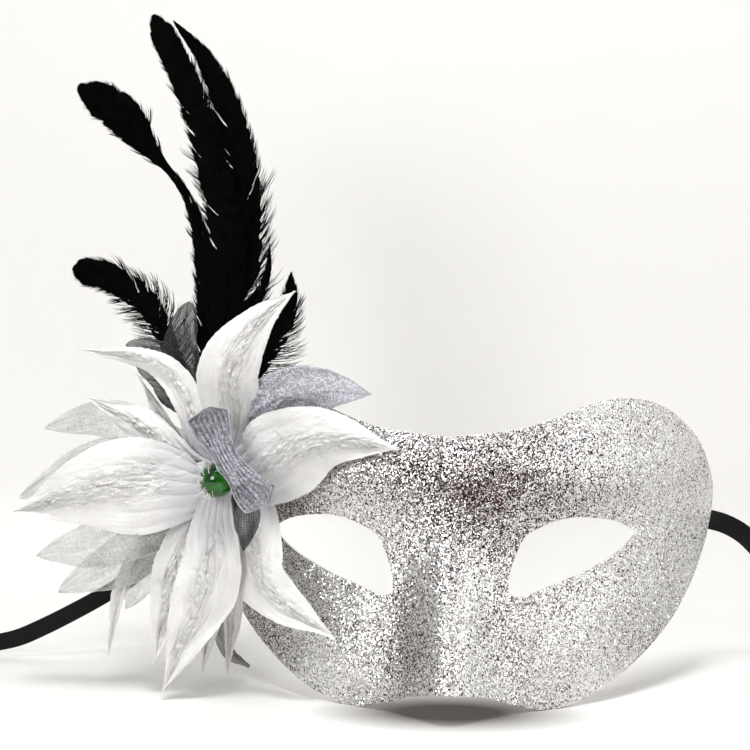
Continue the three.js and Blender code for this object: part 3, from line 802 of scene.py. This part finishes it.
DARK_CENTRE = (0.14, 0.02)  # the reddish dark patch in front, as a direction's sideways and upward parts
DARK_REACH = (0.62, 0.44)
DARK_EDGE = (0.3, 1.5)
DARK_FLOOR = 0.05
SIDE_GAIN = (0.4, 1.1)  # the studio's brightness from left to right
AMBIENT = (0.1, 0.26)  # soft light from below and from above
SEEN_WALL = 0.95
SOFT_LIGHTS = [  # name, size in metres, place, aim, watts
    ("overhead_softbox", 0.3, (-0.02, -0.25, 0.85), (-0.03, 0.0, 0), 5.6),
    ("front_softbox", 0.4, (-0.42, -0.82, 0.34), (0, 0, 0), 3.45),
    ("right_softbox", 0.4, (0.85, -0.3, 0.3), (0, 0, 0), 1.1),
]


def build_lights():
    scene = bpy.context.scene
    scene.view_settings.view_transform = "Standard"
    scene.world = scene.world or bpy.data.worlds.new("studio")
    scene.world.use_nodes = True
    tree = scene.world.node_tree
    tree.nodes.clear()
    add = functools.partial(add_node, tree)
    x, y, z = add("SeparateXYZ", add("TexCoord", out="Generated"), out=None)
    across = add("Math", add("Math", x, DARK_CENTRE[0], operation="SUBTRACT"), DARK_REACH[0], operation="DIVIDE")
    rise = add("Math", add("Math", z, DARK_CENTRE[1], operation="SUBTRACT"), DARK_REACH[1], operation="DIVIDE")
    squares = [add("Math", part, 2.0, operation="POWER") for part in (across, rise)]
    patch = add("MapRange", add("Math", *squares, operation="ADD"), *DARK_EDGE, DARK_FLOOR, 1.0)
    behind = add("Math", y, 0.0, operation="GREATER_THAN")
    studio = add("Math", patch, behind, operation="MAXIMUM")
    sides = add("MapRange", x, -0.7, 0.4, *SIDE_GAIN)
    reflected = add("Math", studio, sides, operation="MULTIPLY")
    ambient = add("MapRange", z, -0.2, 0.9, *AMBIENT)
    rays = add("LightPath", out=None)
    soft = add("Mix", data_type="FLOAT", Factor=rays["Is Glossy Ray"], A=ambient, B=reflected)
    seen = add("Mix", data_type="FLOAT", Factor=rays["Is Camera Ray"], A=soft, B=SEEN_WALL)
    near = add("Math", studio, rays["Is Camera Ray"], operation="MAXIMUM")
    tint = add("Mix", data_type="RGBA", Factor=near, A=linear("#a0555e"), B=linear("#ffffff"), out="Result")
    add("OutputWorld", add("Background", tint, seen))
    for light in SOFT_LIGHTS:
        soft_light(*light)


# ---- ribbons ----
def ribbon_line(run, coil, turn_way, length):
    """The run's points, then a loose spiral that holds the rest of the length; millimetres."""
    line = Line(run)
    points = list(line.at(np.linspace(0, 1, 60)))
    start = points[-1]
    angle = math.atan2(start[1] - coil[1], start[0] - coil[0])
    left = length / MM - line.length
    radius = math.hypot(start[0] - coil[0], start[1] - coil[1])
    while left > 0:
        step = min(2.0, left)
        angle += turn_way * step / radius
        turned = step / (math.tau * radius)
        pull = 0.12 * step if radius > COIL_OUTER else 0.0
        radius -= COIL_PITCH * turned + pull
        spoke = np.array([math.cos(angle), math.sin(angle)]) * radius
        points.append(np.array([coil[0] + spoke[0], coil[1] + spoke[1], COIL_HEIGHT]))
        left -= step
    return np.array(points)


def ribbon_band(name, points, width, thickness, lean):
    rows = len(points)
    columns = 8
    piece = grid(name, columns, rows - 1)
    u, v = grid_params(piece)
    steps = np.gradient(points, axis=0)
    along = unit(steps)
    side = unit(np.stack([-along[:, 1], along[:, 0], np.zeros(rows)], axis=1))
    upward = unit(np.cross(along, side))
    index = np.rint(v * (rows - 1)).astype(int)
    curl = 0.25 * (u**2 - 0.5)
    share = np.arange(rows) / rows
    tilt = lean * smooth(share, 0.0, 0.04) * (1 - smooth(share, 0.22, 0.3))
    wide = upward * np.cos(tilt)[:, None] - side * np.sign(side[:, 1:2]) * np.sin(tilt)[:, None]
    spots = points[index] + wide[index] * (u * width / 2)[:, None] + side[index] * curl[:, None]
    set_points(piece, placed(spots))
    reach = np.concatenate([[0], np.cumsum(np.linalg.norm(np.diff(points, axis=0), axis=1))])
    scale_uv(piece, width, reach[-1])
    store(piece, "edge", np.abs(u))
    solidify(piece, thickness)
    smooth_shading(piece, 60)
    return piece


def tie_band(name, node):
    """A short band drawn round the coil: a rounded loop with soft, slightly proud edges."""
    low, high = (np.array(c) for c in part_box(node))
    centre, half = (low + high) / 2, (high - low) / 2
    columns, rows = 6, 40
    piece = grid(name, columns, rows)
    u, v = grid_params(piece)
    angle = v * math.tau
    corner = 0.45
    cx = np.sign(np.cos(angle)) * np.abs(np.cos(angle)) ** corner
    cz = np.sign(np.sin(angle)) * np.abs(np.sin(angle)) ** corner
    inset = 0.25 * MM - 0.1 * MM * np.abs(u) ** 4
    spots = np.stack([
        centre[0] + cx * (half[0] - inset),
        centre[1] + u * half[1],
        centre[2] + cz * (half[2] - inset),
    ], axis=1)
    set_points(piece, spots)
    scale_uv(piece, half[1] * 2 / MM, 36)
    store(piece, "edge", np.abs(u))
    make_active(piece)
    bpy.ops.object.mode_set(mode="EDIT")
    bpy.ops.mesh.select_all(action="SELECT")
    bpy.ops.mesh.remove_doubles(threshold=0.01 * MM)
    bpy.ops.mesh.normals_make_consistent(inside=False)
    bpy.ops.object.mode_set(mode="OBJECT")
    solidify(piece, 0.25 * MM)
    smooth_shading(piece, 60)
    return piece


def build_ribbons():
    size = sizes()
    satin = black_satin()
    for side, run, coil, way, lean in (
            ("left", LEFT_RUN, LEFT_COIL, 1, LEFT_LEAN), ("right", RIGHT_RUN, RIGHT_COIL, -1, 0.0)):
        line = ribbon_line(run, coil, way, size.ribbon_length)
        piece = ribbon_band(f"tie_ribbon_{side}", line, size.ribbon_width / MM, 0.22 * MM, lean)
        finish_piece(piece, "black_satin", satin, f"ribbon_{side}", f"ribbon_coil_{side}")
        tie = tie_band(f"ribbon_keeper_{side}", f"coil_tie_{side}")
        finish_piece(tie, "black_satin", satin, f"coil_tie_{side}")
        path = placed(line)


# ---- the shell ----
def outline_prism():
    right = RIM
    left = [(-x, z) for x, z in reversed(RIM)][1:-1]
    loops = [smooth_loop([*right, *left, right[0]], 360)[:-1]]
    for sign in (1, -1):
        top = smooth_loop([(sign * x, z) for x, z in EYE_TOP], 50)[:-1]
        bottom = smooth_loop([(sign * x, z) for x, z in EYE_BOTTOM], 40)[:-1]
        loops.append([*top, *bottom])
    curve = bpy.data.curves.new("outline", "CURVE")
    curve.dimensions = "2D"
    curve.fill_mode = "BOTH"
    curve.extrude = 0.09
    for loop in loops:
        spline = curve.splines.new("POLY")
        spline.points.add(len(loop) - 1)
        for point, (x, z) in zip(spline.points, loop):
            point.co = (x * MM, z * MM, 0, 1)
        spline.use_cyclic_u = True
    prism = bpy.data.objects.new("outline", curve)
    bpy.context.scene.collection.objects.link(prism)
    prism.rotation_euler = (math.pi / 2, 0, 0)
    prism.location = placed([(0, 35, 0)])[0]
    make_active(prism)
    bpy.ops.object.convert(target="MESH")
    bpy.ops.object.transform_apply(location=True, rotation=True, scale=True)
    bpy.ops.object.mode_set(mode="EDIT")
    bpy.ops.mesh.select_all(action="SELECT")
    bpy.ops.mesh.remove_doubles(threshold=0.001 * MM)
    bpy.ops.mesh.normals_make_consistent(inside=False)
    bpy.ops.object.mode_set(mode="OBJECT")
    return bpy.context.object


def build_shell():
    size = sizes()
    width, bottom, height = 190.0, -4.0, 112.0
    step = size.shell_step / MM
    piece = grid("glittered_shell", round(width / step), round(height / step))
    u, v = grid_params(piece)
    x = u * width / 2
    z = bottom + v * height
    set_points(piece, placed(np.stack([x, face_depth(x, z), z], axis=1)))
    make_active(piece)
    if piece.data.polygons[0].normal.y > 0:
        bpy.ops.object.mode_set(mode="EDIT")
        bpy.ops.mesh.select_all(action="SELECT")
        bpy.ops.mesh.flip_normals()
        bpy.ops.object.mode_set(mode="OBJECT")
    solidify(piece, size.shell_thickness, -1.0)
    prism = outline_prism()
    cut = piece.modifiers.new("outline", "BOOLEAN")
    cut.operation = "INTERSECT"
    cut.solver = "EXACT"
    cut.object = prism
    apply_modifiers(piece)
    bpy.data.objects.remove(prism)
    edge = piece.modifiers.new("rounded_rim", "BEVEL")
    edge.width = 0.35 * MM
    edge.segments = 2
    edge.limit_method = "ANGLE"
    edge.angle_limit = math.radians(50)
    apply_modifiers(piece)
    smooth_shading(piece, 35)
    finish_piece(piece, "silver_glitter", silver_glitter(), "mask_shell")
    piece.data.materials.append(moulded_plastic())
    for face in piece.data.polygons:
        face.material_index = 1 if face.normal.y > -0.3 else 0


# ---- petals ----
FLOWER = (-77.0, 76.0)  # x and height of the flower's centre
BELLY_PLACE = 0.85  # lower values bring a petal's widest part nearer to its foot
NEAR_BELLY = {"satin_petal_right": 0.62, "satin_petal_left": 0.75}
ROOT_RADIUS = 2.5  # petals are gathered this close to the stem's axis


BOW_WAIST = 0.58  # share of a bow's width left at its middle
BOW_END = 0.1  # share of its length that each end is rounded over
OUTLINE_STEPS = 400


def petal_width(t, look):
    """Share of the full width from base to tip: a gathered foot, a full belly, a drawn-out or blunt end."""
    if look.get("bow"):
        waist = BOW_WAIST + (1 - BOW_WAIST) * smooth(np.abs(2 * t - 1), 0.1, 0.8)
        return waist * np.minimum(1, np.minimum(t, 1 - t) / BOW_END + 0.2)
    belly = np.sin(np.pi * np.clip(t, 0, 1) ** look.get("belly", BELLY_PLACE)) ** look["point"]
    return np.maximum(0.03, np.sqrt((look["foot"] * (1 - t) ** 2) ** 2 + belly**2))


def field(x, y, seed, octaves=3):
    return np.array([noise.fractal(Vector((a, b, seed)), 0.6, 2.1, octaves) for a, b in zip(x, y)])


def rooted(points):
    """The petal's line, carried on inwards to where it is gathered round the stem."""
    first = np.array(points[0], dtype=float)
    centre = np.array([FLOWER[0], first[1], FLOWER[1]])
    way = first - centre
    root = centre + way / np.linalg.norm(way) * ROOT_RADIUS + np.array([0.0, 1.5, 0.0])
    return Line([root, *points])


def petal(name, width, cup, points, seed, look, step=0.45):
    """A pressed cloth petal: pleats from its gathered foot, a crushed middle and a waved, nicked edge."""
    line = rooted(points) if look["rooted"] else Line(points)
    columns = int(np.clip(round(width / step), 14, 70))
    rows = int(np.clip(round(line.length / step), 30, 170))
    piece = grid(name, columns, rows)
    u, t = grid_params(piece)
    point, along, across, facing = blade_frame(line, t)
    span = width * petal_width(t, look)
    reach = u * span / 2
    grow = smooth(t, 0.0, 0.08) * (1 - smooth(t, 0.9, 1.0))
    far = t * line.length
    sway = 0.35 * field(t * 2.0, np.zeros_like(t), seed + 3.1, 2)
    gather = np.cos(math.tau * (look["pleat_count"] / 2 * u + sway) + seed)
    sharp = 1 - 2 * np.abs(gather) ** 0.6
    folds = look["pleat"] * sharp * (1 - (0.0 if look.get("bow") else 0.9) * smooth(t, 0.12, 0.6)) * grow
    drift = 0.25 * field(t * 3.0, np.ones_like(t), seed + 9.0, 2)
    middle = np.exp(-(((u - drift) / 0.34) ** 2)) * smooth(t, 0.15, 0.32) * (1 - smooth(t, 0.86, 1.0))
    crest = 1 - 2.2 * np.abs(field(reach / 1.3, (far - 0.9 * np.abs(reach)) / 3.2, seed, 4))
    rib = 1 - np.minimum(1, np.abs(field(reach / 3.2, far / 16.0, seed + 5.0, 2)) * 6)
    crumple = look["crush"] * (crest * (0.07 + 0.6 * middle) + rib * (0.25 + 0.75 * middle) * grow)
    wave = look["ripple"] * field(u * 0.9, t * 1.8, seed + 7.7, 2) * (0.3 + np.abs(u)) * smooth(t, 0.1, 0.35)
    swing = np.sin(math.tau * (2.0 * t + 0.3 * np.sign(u)) + seed)
    hem = 0.5 * look["ripple"] * np.abs(u) ** 3 * swing * grow
    keel = cup * span * (np.abs(u) ** 1.4 - 0.5)
    small_nick = 0.22 * field(far * 0.9, np.sign(u) * 3.0, seed + 1.3, 2)
    nick = small_nick + 0.5 * field(t * 5, np.sign(u) * 7.0, seed, 2)
    spots = point + across * (reach + nick * np.abs(u) ** 2 * np.sign(u) * grow)[:, None]
    spots = spots + facing * (keel + folds + crumple + wave + hem)[:, None]
    set_points(piece, placed(spots))
    scale_uv(piece, width, line.length)
    store(piece, "edge", np.abs(u))
    store(piece, "vein", middle)
    # foot: nearness to the gathered base, where the materials paint shade and the organza grows denser.
    store(piece, "foot", 1 - smooth(t, 0.05, 0.4))
    return piece, line


def declare_petal(piece, width, line, look):
    """Works out, from the pattern and not from the shape, the mean share of the full width along the cut;
    nothing is kept of it.
    """
    outline = np.mean(petal_width(np.linspace(0, 1, OUTLINE_STEPS), look))


def build_petals(table, slot, material, thickness, look):
    for order, (node, (width, cup, points)) in enumerate(table.items()):
        seed = 3.7 * order + len(node)
        own = dict(look, rooted="fold" not in node and "loop" not in node and "point" not in node)
        own.update(belly=NEAR_BELLY.get(node, BELLY_PLACE), folded="fold" in node or "point" in node)
        piece, line = petal(f"cloth_{node}", width, cup, points, seed, own)
        solidify(piece, thickness)
        smooth_shading(piece, 60)
        finish_piece(piece, slot, material, node)
        declare_petal(piece, width, line, own)


# ---- feathers ----
FRAME_STEPS = 600


class Quill:
    """The shaft's line with its directions, looked up quickly at any share of its length."""

    def __init__(self, points):
        self.line = Line(points)
        self.length = self.line.length
        self.t = np.linspace(0, 1, FRAME_STEPS)
        self.point, self.along, self.across, self.facing = blade_frame(self.line, self.t)

    def at(self, rows, t):
        return np.stack([np.interp(t, self.t, rows[:, k]) for k in range(3)], axis=-1)


def vane_width(kind, t):
    """Share of the feather's full width at t, rounded off or drawn out at the tip."""
    end = np.clip(1 - t, 0, 1)
    if kind == "paddle":
        shaft = 0.75 * (1 - smooth(t, 0.3, 0.72)) + 0.2
        paddle = 1.2 * np.maximum(bump((t - 0.87) / 0.1), bump((t - 0.95) / 0.1))
        return np.minimum(1, 0.3 + 3 * t) * (shaft + paddle) * np.minimum(1, end / 0.07) ** 0.5
    body = np.minimum(1, 0.3 + 2.2 * t)
    if kind == "pointed":
        return body * np.minimum(1, end / 0.4) ** 0.75
    return body * np.minimum(1, end / 0.05) ** 0.5 * (1 - 0.25 * smooth(t, 0.55, 1.0))


def barb(quill, kind, half, t, side, s, share, angle, spread=0.0, lift=0.0):
    """Points along one barb: it leaves the shaft, bends towards the tip and ends on the vane's outline."""
    forward = half / math.tan(angle) / quill.length
    end = t + (1 - t) * (1 - np.exp(-forward / (1 - t + 0.004)))
    place = t + (end - t) * s**1.05
    out = half * vane_width(kind, end) * share * (0.5 * np.sin(s * math.pi / 2) + 0.5 * s)
    place = np.minimum(place + spread * s**2 * half / quill.length, 1)
    drop = 0.1 * out * out / half + lift * half * s**2
    return (quill.at(quill.point, place) + quill.at(quill.across, place) * (side * out)[..., None]
            + quill.at(quill.facing, place) * drop[..., None])


def strand(path, widths, facing, thickness):
    """A closed three-sided strand along path: two edges and a low ridge, drawn to a point."""
    count = len(path)
    side = unit(np.cross(np.gradient(path, axis=0), facing))
    ring = np.stack([path + side * (widths / 2)[:, None], path - side * (widths / 2)[:, None],
                     path + facing * thickness], axis=1)[:-1]
    points = [*ring.reshape(-1, 3), path[-1]]
    faces = []
    for i in range(count - 2):
        for k in range(3):
            a, b = i * 3 + k, i * 3 + (k + 1) % 3
            faces.append((a, b, b + 3, a + 3))
    last = (count - 2) * 3
    faces.extend((last + k, last + (k + 1) % 3, last + 3) for k in range(3))
    faces.append((2, 1, 0))
    return points, faces


def shaft(quill, base_radius, tip_radius, sides=8, steps=48):
    t = np.linspace(0, 0.985, steps)
    point, across, facing = (quill.at(rows, t) for rows in (quill.point, quill.across, quill.facing))
    radius = base_radius + (tip_radius - base_radius) * t
    points, faces = [], []
    for i in range(steps):
        for k in range(sides):
            angle = math.tau * k / sides
            points.append(point[i] + (across[i] * math.cos(angle) + facing[i] * math.sin(angle)) * radius[i])
    for i in range(steps - 1):
        for k in range(sides):
            a, b = i * sides + k, i * sides + (k + 1) % sides
            faces.append((a, b, b + sides, a + sides))
    faces.append(tuple(reversed(range(sides))))
    faces.append(tuple(range((steps - 1) * sides, steps * sides)))
    return points, faces


VANE_THICKNESS = 0.16
SLIT_GAP = 6.0  # millimetres over which slits come and go
SLIT_WIDTH = 0.07
VANE_COLUMNS = 6


def slits(quill, side, seed, t):
    """One where the vane is split down to the shaft, else zero; the end of the vane stays whole."""
    split = np.abs(field(t * quill.length / SLIT_GAP, np.full(len(t), side * 9.0), seed + 2, 2))
    return (1 - smooth(split, 0.0, SLIT_WIDTH)) * (1 - smooth(t, 0.7, 0.78))


def web(quill, kind, half, side, loose, seed, rows):
    """The closed web of locked barbs on one side of the shaft, split here and there down to the shaft."""
    t = np.linspace(0.02, 0.995, rows)
    far = t * quill.length
    wander = field(far / 4.0, np.full(rows, side * 4.0), seed, 3)
    slit = slits(quill, side, seed, t)
    web = np.clip(0.93 + 0.18 * wander - 0.75 * slit, 0.15, 1.02)
    cover = web * (1 - 0.75 * loose * (1 - smooth(t, 0.25, 0.85)))
    s = np.linspace(0, 1, VANE_COLUMNS)
    layers = []
    for height in (0.0, VANE_THICKNESS):
        rows_points = [
            barb(quill, kind, half, t[i], side, s * cover[i], 1.0, math.radians(26)) for i in range(rows)]
        facing = quill.at(quill.facing, t)
        layers.append(np.array(rows_points) - facing[:, None, :] * height)
    points = np.concatenate([layer.reshape(-1, 3) for layer in layers])
    size = rows * VANE_COLUMNS
    faces = []
    for i in range(rows - 1):
        for k in range(VANE_COLUMNS - 1):
            a = i * VANE_COLUMNS + k
            quad = (a, a + 1, a + VANE_COLUMNS + 1, a + VANE_COLUMNS)
            faces.append(quad)
            faces.append(tuple(size + q for q in reversed(quad)))
    rim = [k for k in range(VANE_COLUMNS)]
    rim += [i * VANE_COLUMNS + VANE_COLUMNS - 1 for i in range(1, rows)]
    rim += [(rows - 1) * VANE_COLUMNS + k for k in range(VANE_COLUMNS - 2, -1, -1)]
    rim += [i * VANE_COLUMNS for i in range(rows - 2, 0, -1)]
    for a, b in zip(rim, [*rim[1:], rim[0]]):
        faces.append((b, a, a + size, b + size))
    return points, faces


def feather(name, width, kind, looseness, points, seed):
    draw = random.Random(seed)
    quill = Quill(points)
    half = width / 2
    spacing = sizes().barb_spacing / MM
    all_points, all_faces, down = [], [], []

    def add(part, loose):
        base = len(all_points)
        all_points.extend(part[0])
        all_faces.extend(tuple(base + k for k in face) for face in part[1])
        down.extend([loose] * len(part[0]))

    add(shaft(quill, 0.55, 0.1), 0.0)
    count = int(quill.length / spacing)
    s = np.linspace(0, 1, 7)
    for side in (-1, 1):
        add(web(quill, kind, half, side, looseness, seed, int(quill.length / 0.7)), 0.0)
        gaps = slits(quill, side, seed, quill.t)
        for i in range(count):
            t = 0.02 + 0.97 * (i + draw.random()) / count
            if np.interp(t, quill.t, gaps) > 0.5:
                continue
            far = t * quill.length
            clump = noise.noise(Vector((far / 2.4, side * 5.0, seed)))
            fine = noise.noise(Vector((far / 0.8, side * 9.0, seed)))
            fluffy = looseness * (1 - float(smooth(t, 0.1, 0.45 + 0.5 * looseness)))
            tuft = max(0.0, clump - 0.05) * (1 - float(smooth(t, 0.72, 0.9)))
            share = 1.0 + 1.3 * tuft + 0.12 * fine
            share += draw.uniform(-0.05, 0.12) + fluffy * draw.uniform(0.1, 1.4)
            angle = math.radians(26 + 4 * clump + 22 * fluffy + draw.uniform(-3, 3))
            lift = 0.1 * clump + draw.uniform(-0.03, 0.03) + fluffy * draw.uniform(-0.7, 0.7)
            spread = draw.uniform(-0.1, 0.1) + fluffy * draw.uniform(-0.2, 0.7)
            path = barb(quill, kind, half, t, side, s, share, angle, spread, lift)
            facing = quill.at(quill.facing, np.array([t]))[0]
            thick = 0.34 * (1 - 0.5 * fluffy)
            add(strand(path, thick * np.linspace(1.0, 0.3, len(path)), facing, 0.07), min(1.0, fluffy))
    piece = mesh_piece(name, placed(all_points), all_faces)
    store(piece, "down", down)
    make_active(piece)
    bpy.ops.object.mode_set(mode="EDIT")
    bpy.ops.mesh.select_all(action="SELECT")
    bpy.ops.mesh.normals_make_consistent(inside=False)
    bpy.ops.object.mode_set(mode="OBJECT")
    return piece


def build_feathers():
    material = dyed_feather()
    for order, (node, (width, kind, looseness, points)) in enumerate(FEATHERS.items()):
        piece = feather(f"plume_{node}", width, kind, looseness, points, SEED + order)
        smooth_shading(piece, 30)
        finish_piece(piece, "feather", material, node)


# ---- flower centre, felt and binding ----
def build_centre():
    low, high = (Vector(c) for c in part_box("flower_bead"))
    centre = (low + high) / 2
    radius = (high.x - low.x) / 2
    deselect_all()
    bpy.ops.mesh.primitive_uv_sphere_add(segments=48, ring_count=32, radius=radius, location=centre)
    bead = bpy.context.object
    bead.name = "glossy_bead"
    bpy.ops.object.transform_apply(location=True, rotation=True, scale=True)
    smooth_shading(bead, 80)
    finish_piece(bead, "green_bead", green_acrylic(), "flower_bead")
    bpy.data.objects["flower_stem"].data.materials[0] = wire_cover()
    build_fringe(centre, radius)


OVER_BEAD = 0.45  # share of the frayed threads that lap over the bead's edge


def build_fringe(centre, radius):
    """Short white threads that fray out round the bead's back and left side."""
    draw = random.Random(SEED)
    all_points, all_faces = [], []
    for _ in range(70):
        angle = math.radians(draw.uniform(95, 265))
        out = np.array([math.cos(angle), 0.0, math.sin(angle)])
        start = np.array(centre) + out * radius * 0.9 + np.array([0, draw.uniform(-1.5, 1.5) * MM, 0])
        reach = draw.uniform(1.2, 3.4) * MM
        bend = np.array([draw.uniform(-0.4, 0.4), -draw.uniform(0.3, 1.1), draw.uniform(-0.4, 0.4)])
        s = np.linspace(0, 1, 6)[:, None]
        path = start + out * reach * s + bend * reach * s**2 * 0.6
        if draw.random() < OVER_BEAD:
            start = np.array(centre) + out * radius * 1.15
            lap = np.array([0.0, -draw.uniform(0.95, 1.1) * radius, draw.uniform(-1, 1) * MM])
            path = start - out * radius * draw.uniform(0.35, 0.6) * s + lap * np.sin(s * math.pi / 2)
        points, faces = strand(path, 0.3 * MM * np.linspace(1, 0.5, 6), np.array([0.0, -1.0, 0.0]), 0.1 * MM)
        base = len(all_points)
        all_points.extend(points)
        all_faces.extend(tuple(base + k for k in face) for face in faces)
    piece = mesh_piece("frayed_threads", all_points, all_faces)
    make_active(piece)
    bpy.ops.object.mode_set(mode="EDIT")
    bpy.ops.mesh.select_all(action="SELECT")
    bpy.ops.mesh.normals_make_consistent(inside=False)
    bpy.ops.object.mode_set(mode="OBJECT")
    finish_piece(piece, "white_satin", spun_thread())


def soft_pad(name, node):
    """A felt piece cut from the node's own outline, with soft rounded edges."""
    source = bpy.data.objects[node]
    piece = source.copy()
    piece.data = source.data.copy()
    piece.name = name
    for key in list(piece.keys()):
        del piece[key]
    bpy.context.scene.collection.objects.link(piece)
    make_active(piece)
    bpy.ops.object.mode_set(mode="EDIT")
    bpy.ops.mesh.select_all(action="SELECT")
    bpy.ops.mesh.remove_doubles(threshold=0.01 * MM)
    bpy.ops.mesh.dissolve_limited(angle_limit=math.radians(3))
    bpy.ops.object.mode_set(mode="OBJECT")
    edge = piece.modifiers.new("soft_edge", "BEVEL")
    edge.width = 0.35 * MM
    edge.segments = 3
    edge.limit_method = "ANGLE"
    edge.angle_limit = math.radians(40)
    apply_modifiers(piece)
    smooth_shading(piece, 40)
    return piece


def build_pads():
    felt = pressed_felt()
    for side in ("left", "right"):
        piece = soft_pad(f"felt_tab_{side}", f"ribbon_tab_{side}")
        finish_piece(piece, "felt", felt, f"ribbon_tab_{side}")
    disc = soft_pad("felt_disc", "flower_backing")
    finish_piece(disc, "felt", felt, "flower_backing")
    glue = soft_pad("set_glue", "glue_pad")
    finish_piece(glue, "hot_glue", melt_glue(), "glue_pad")
    tape = soft_pad("wound_tape", "feather_binding")
    finish_piece(tape, "stem_tape", crepe_tape(), "feather_binding")


# ---- operators ----
class MASK_OT_stage(bpy.types.Operator):
    """Add the camera, the lights, the table and the wall"""

    bl_idname = "mask.add_stage"
    bl_label = "Stage"

    def execute(self, context):
        build_camera(context.scene.mask_stage)
        build_stage(context.scene.mask_stage)
        build_lights()
        return {"FINISHED"}


class MASK_OT_ribbons(bpy.types.Operator):
    """Add the two tie ribbons with their coils and keepers"""

    bl_idname = "mask.add_ribbons"
    bl_label = "Tie Ribbons"

    def execute(self, context):
        build_ribbons()
        return {"FINISHED"}


class MASK_OT_shell(bpy.types.Operator):
    """Add the glittered shell with its eye holes"""

    bl_idname = "mask.add_shell"
    bl_label = "Glittered Shell"

    def execute(self, context):
        build_shell()
        return {"FINISHED"}


class MASK_OT_satin_petals(bpy.types.Operator):
    """Add the pleated white satin petals"""

    bl_idname = "mask.add_satin_petals"
    bl_label = "Satin Petals"

    def execute(self, context):
        look = {"pleat": 0.32, "pleat_count": 3, "crush": 0.85, "ripple": 1.5, "foot": 0.46, "point": 1.1}
        build_petals(SATIN_PETALS, "white_satin", white_satin(), sizes().satin_thickness, look)
        return {"FINISHED"}


class MASK_OT_organza_petals(bpy.types.Operator):
    """Add the sheer petals and the black sheer pieces"""

    bl_idname = "mask.add_organza_petals"
    bl_label = "Organza Petals"

    def execute(self, context):
        thickness, tones = sizes().organza_thickness, colours()
        leaf = {"pleat": 0.5, "pleat_count": 3, "crush": 0.1, "ripple": 2.2, "foot": 0.4, "point": 0.9}
        twist = dict(leaf, pleat=0.9, pleat_count=4, crush=0.7, ripple=3.0, bow=True)
        blunt = dict(leaf, crush=0.5, ripple=3.2, point=0.62)
        lavender = sheer_cloth("lavender_organza", tones.lavender_organza, 0.5, 1.8, 0.36, 0.8)
        build_petals(LAVENDER_PETALS, "organza", lavender, thickness, leaf)
        build_petals(LAVENDER_FOLDS, "organza", lavender, thickness, twist)
        pale = sheer_cloth("pale_organza", tones.pale_organza, 0.68, 1.36, 0.16, 0.46)
        build_petals(PALE_PETALS, "organza", pale, thickness, blunt)
        dark = sheer_cloth("black_organza", tones.black_organza, 0.2, 3.4, 0.35, 0.75)
        build_petals(BLACK_LOOPS, "black_organza", dark, thickness, dict(blunt, ripple=2.2, point=0.5))
        build_petals(BLACK_FOLDS, "black_organza", dark, thickness, dict(leaf, pleat=0.8, crush=0.5))
        return {"FINISHED"}


class MASK_OT_feathers(bpy.types.Operator):
    """Add the black feathers, barb by barb"""

    bl_idname = "mask.add_feathers"
    bl_label = "Feathers"

    def execute(self, context):
        build_feathers()
        return {"FINISHED"}


class MASK_OT_centre(bpy.types.Operator):
    """Add the flower's bead and finish its stem"""

    bl_idname = "mask.add_centre"
    bl_label = "Flower Centre"

    def execute(self, context):
        build_centre()
        return {"FINISHED"}


class MASK_OT_pads(bpy.types.Operator):
    """Add the felt, the glue and the wound tape"""

    bl_idname = "mask.add_pads"
    bl_label = "Felt and Tape"

    def execute(self, context):
        build_pads()
        return {"FINISHED"}


OPERATORS = (
    MASK_OT_stage, MASK_OT_ribbons, MASK_OT_shell, MASK_OT_satin_petals, MASK_OT_organza_petals,
    MASK_OT_feathers, MASK_OT_centre, MASK_OT_pads,
)


class MASK_PT_panel(bpy.types.Panel):
    bl_label = "Masquerade Mask"
    bl_idname = "MASK_PT_panel"
    bl_space_type = "VIEW_3D"
    bl_region_type = "UI"
    bl_category = "Mask"

    def draw(self, context):
        layout = self.layout
        for group in (context.scene.mask_sizes, context.scene.mask_colours, context.scene.mask_stage):
            for name in group.bl_rna.properties.keys():
                if name not in ("rna_type", "name"):
                    layout.prop(group, name)
        for operator in OPERATORS:
            layout.operator(operator.bl_idname)


CLASSES = (MaskSizes, MaskColours, MaskStageSettings, *OPERATORS, MASK_PT_panel)


def register():
    for cls in CLASSES:
        bpy.utils.register_class(cls)
    bpy.types.Scene.mask_sizes = bpy.props.PointerProperty(type=MaskSizes)
    bpy.types.Scene.mask_colours = bpy.props.PointerProperty(type=MaskColours)
    bpy.types.Scene.mask_stage = bpy.props.PointerProperty(type=MaskStageSettings)


def unregister():
    del bpy.types.Scene.mask_stage
    del bpy.types.Scene.mask_colours
    del bpy.types.Scene.mask_sizes
    for cls in reversed(CLASSES):
        bpy.utils.unregister_class(cls)


def main():
    register()
    bpy.ops.mask.add_stage()
    bpy.ops.mask.add_ribbons()
    bpy.ops.mask.add_shell()
    bpy.ops.mask.add_satin_petals()
    bpy.ops.mask.add_organza_petals()
    bpy.ops.mask.add_feathers()
    bpy.ops.mask.add_centre()
    bpy.ops.mask.add_pads()


if __name__ == "__main__":
    main()
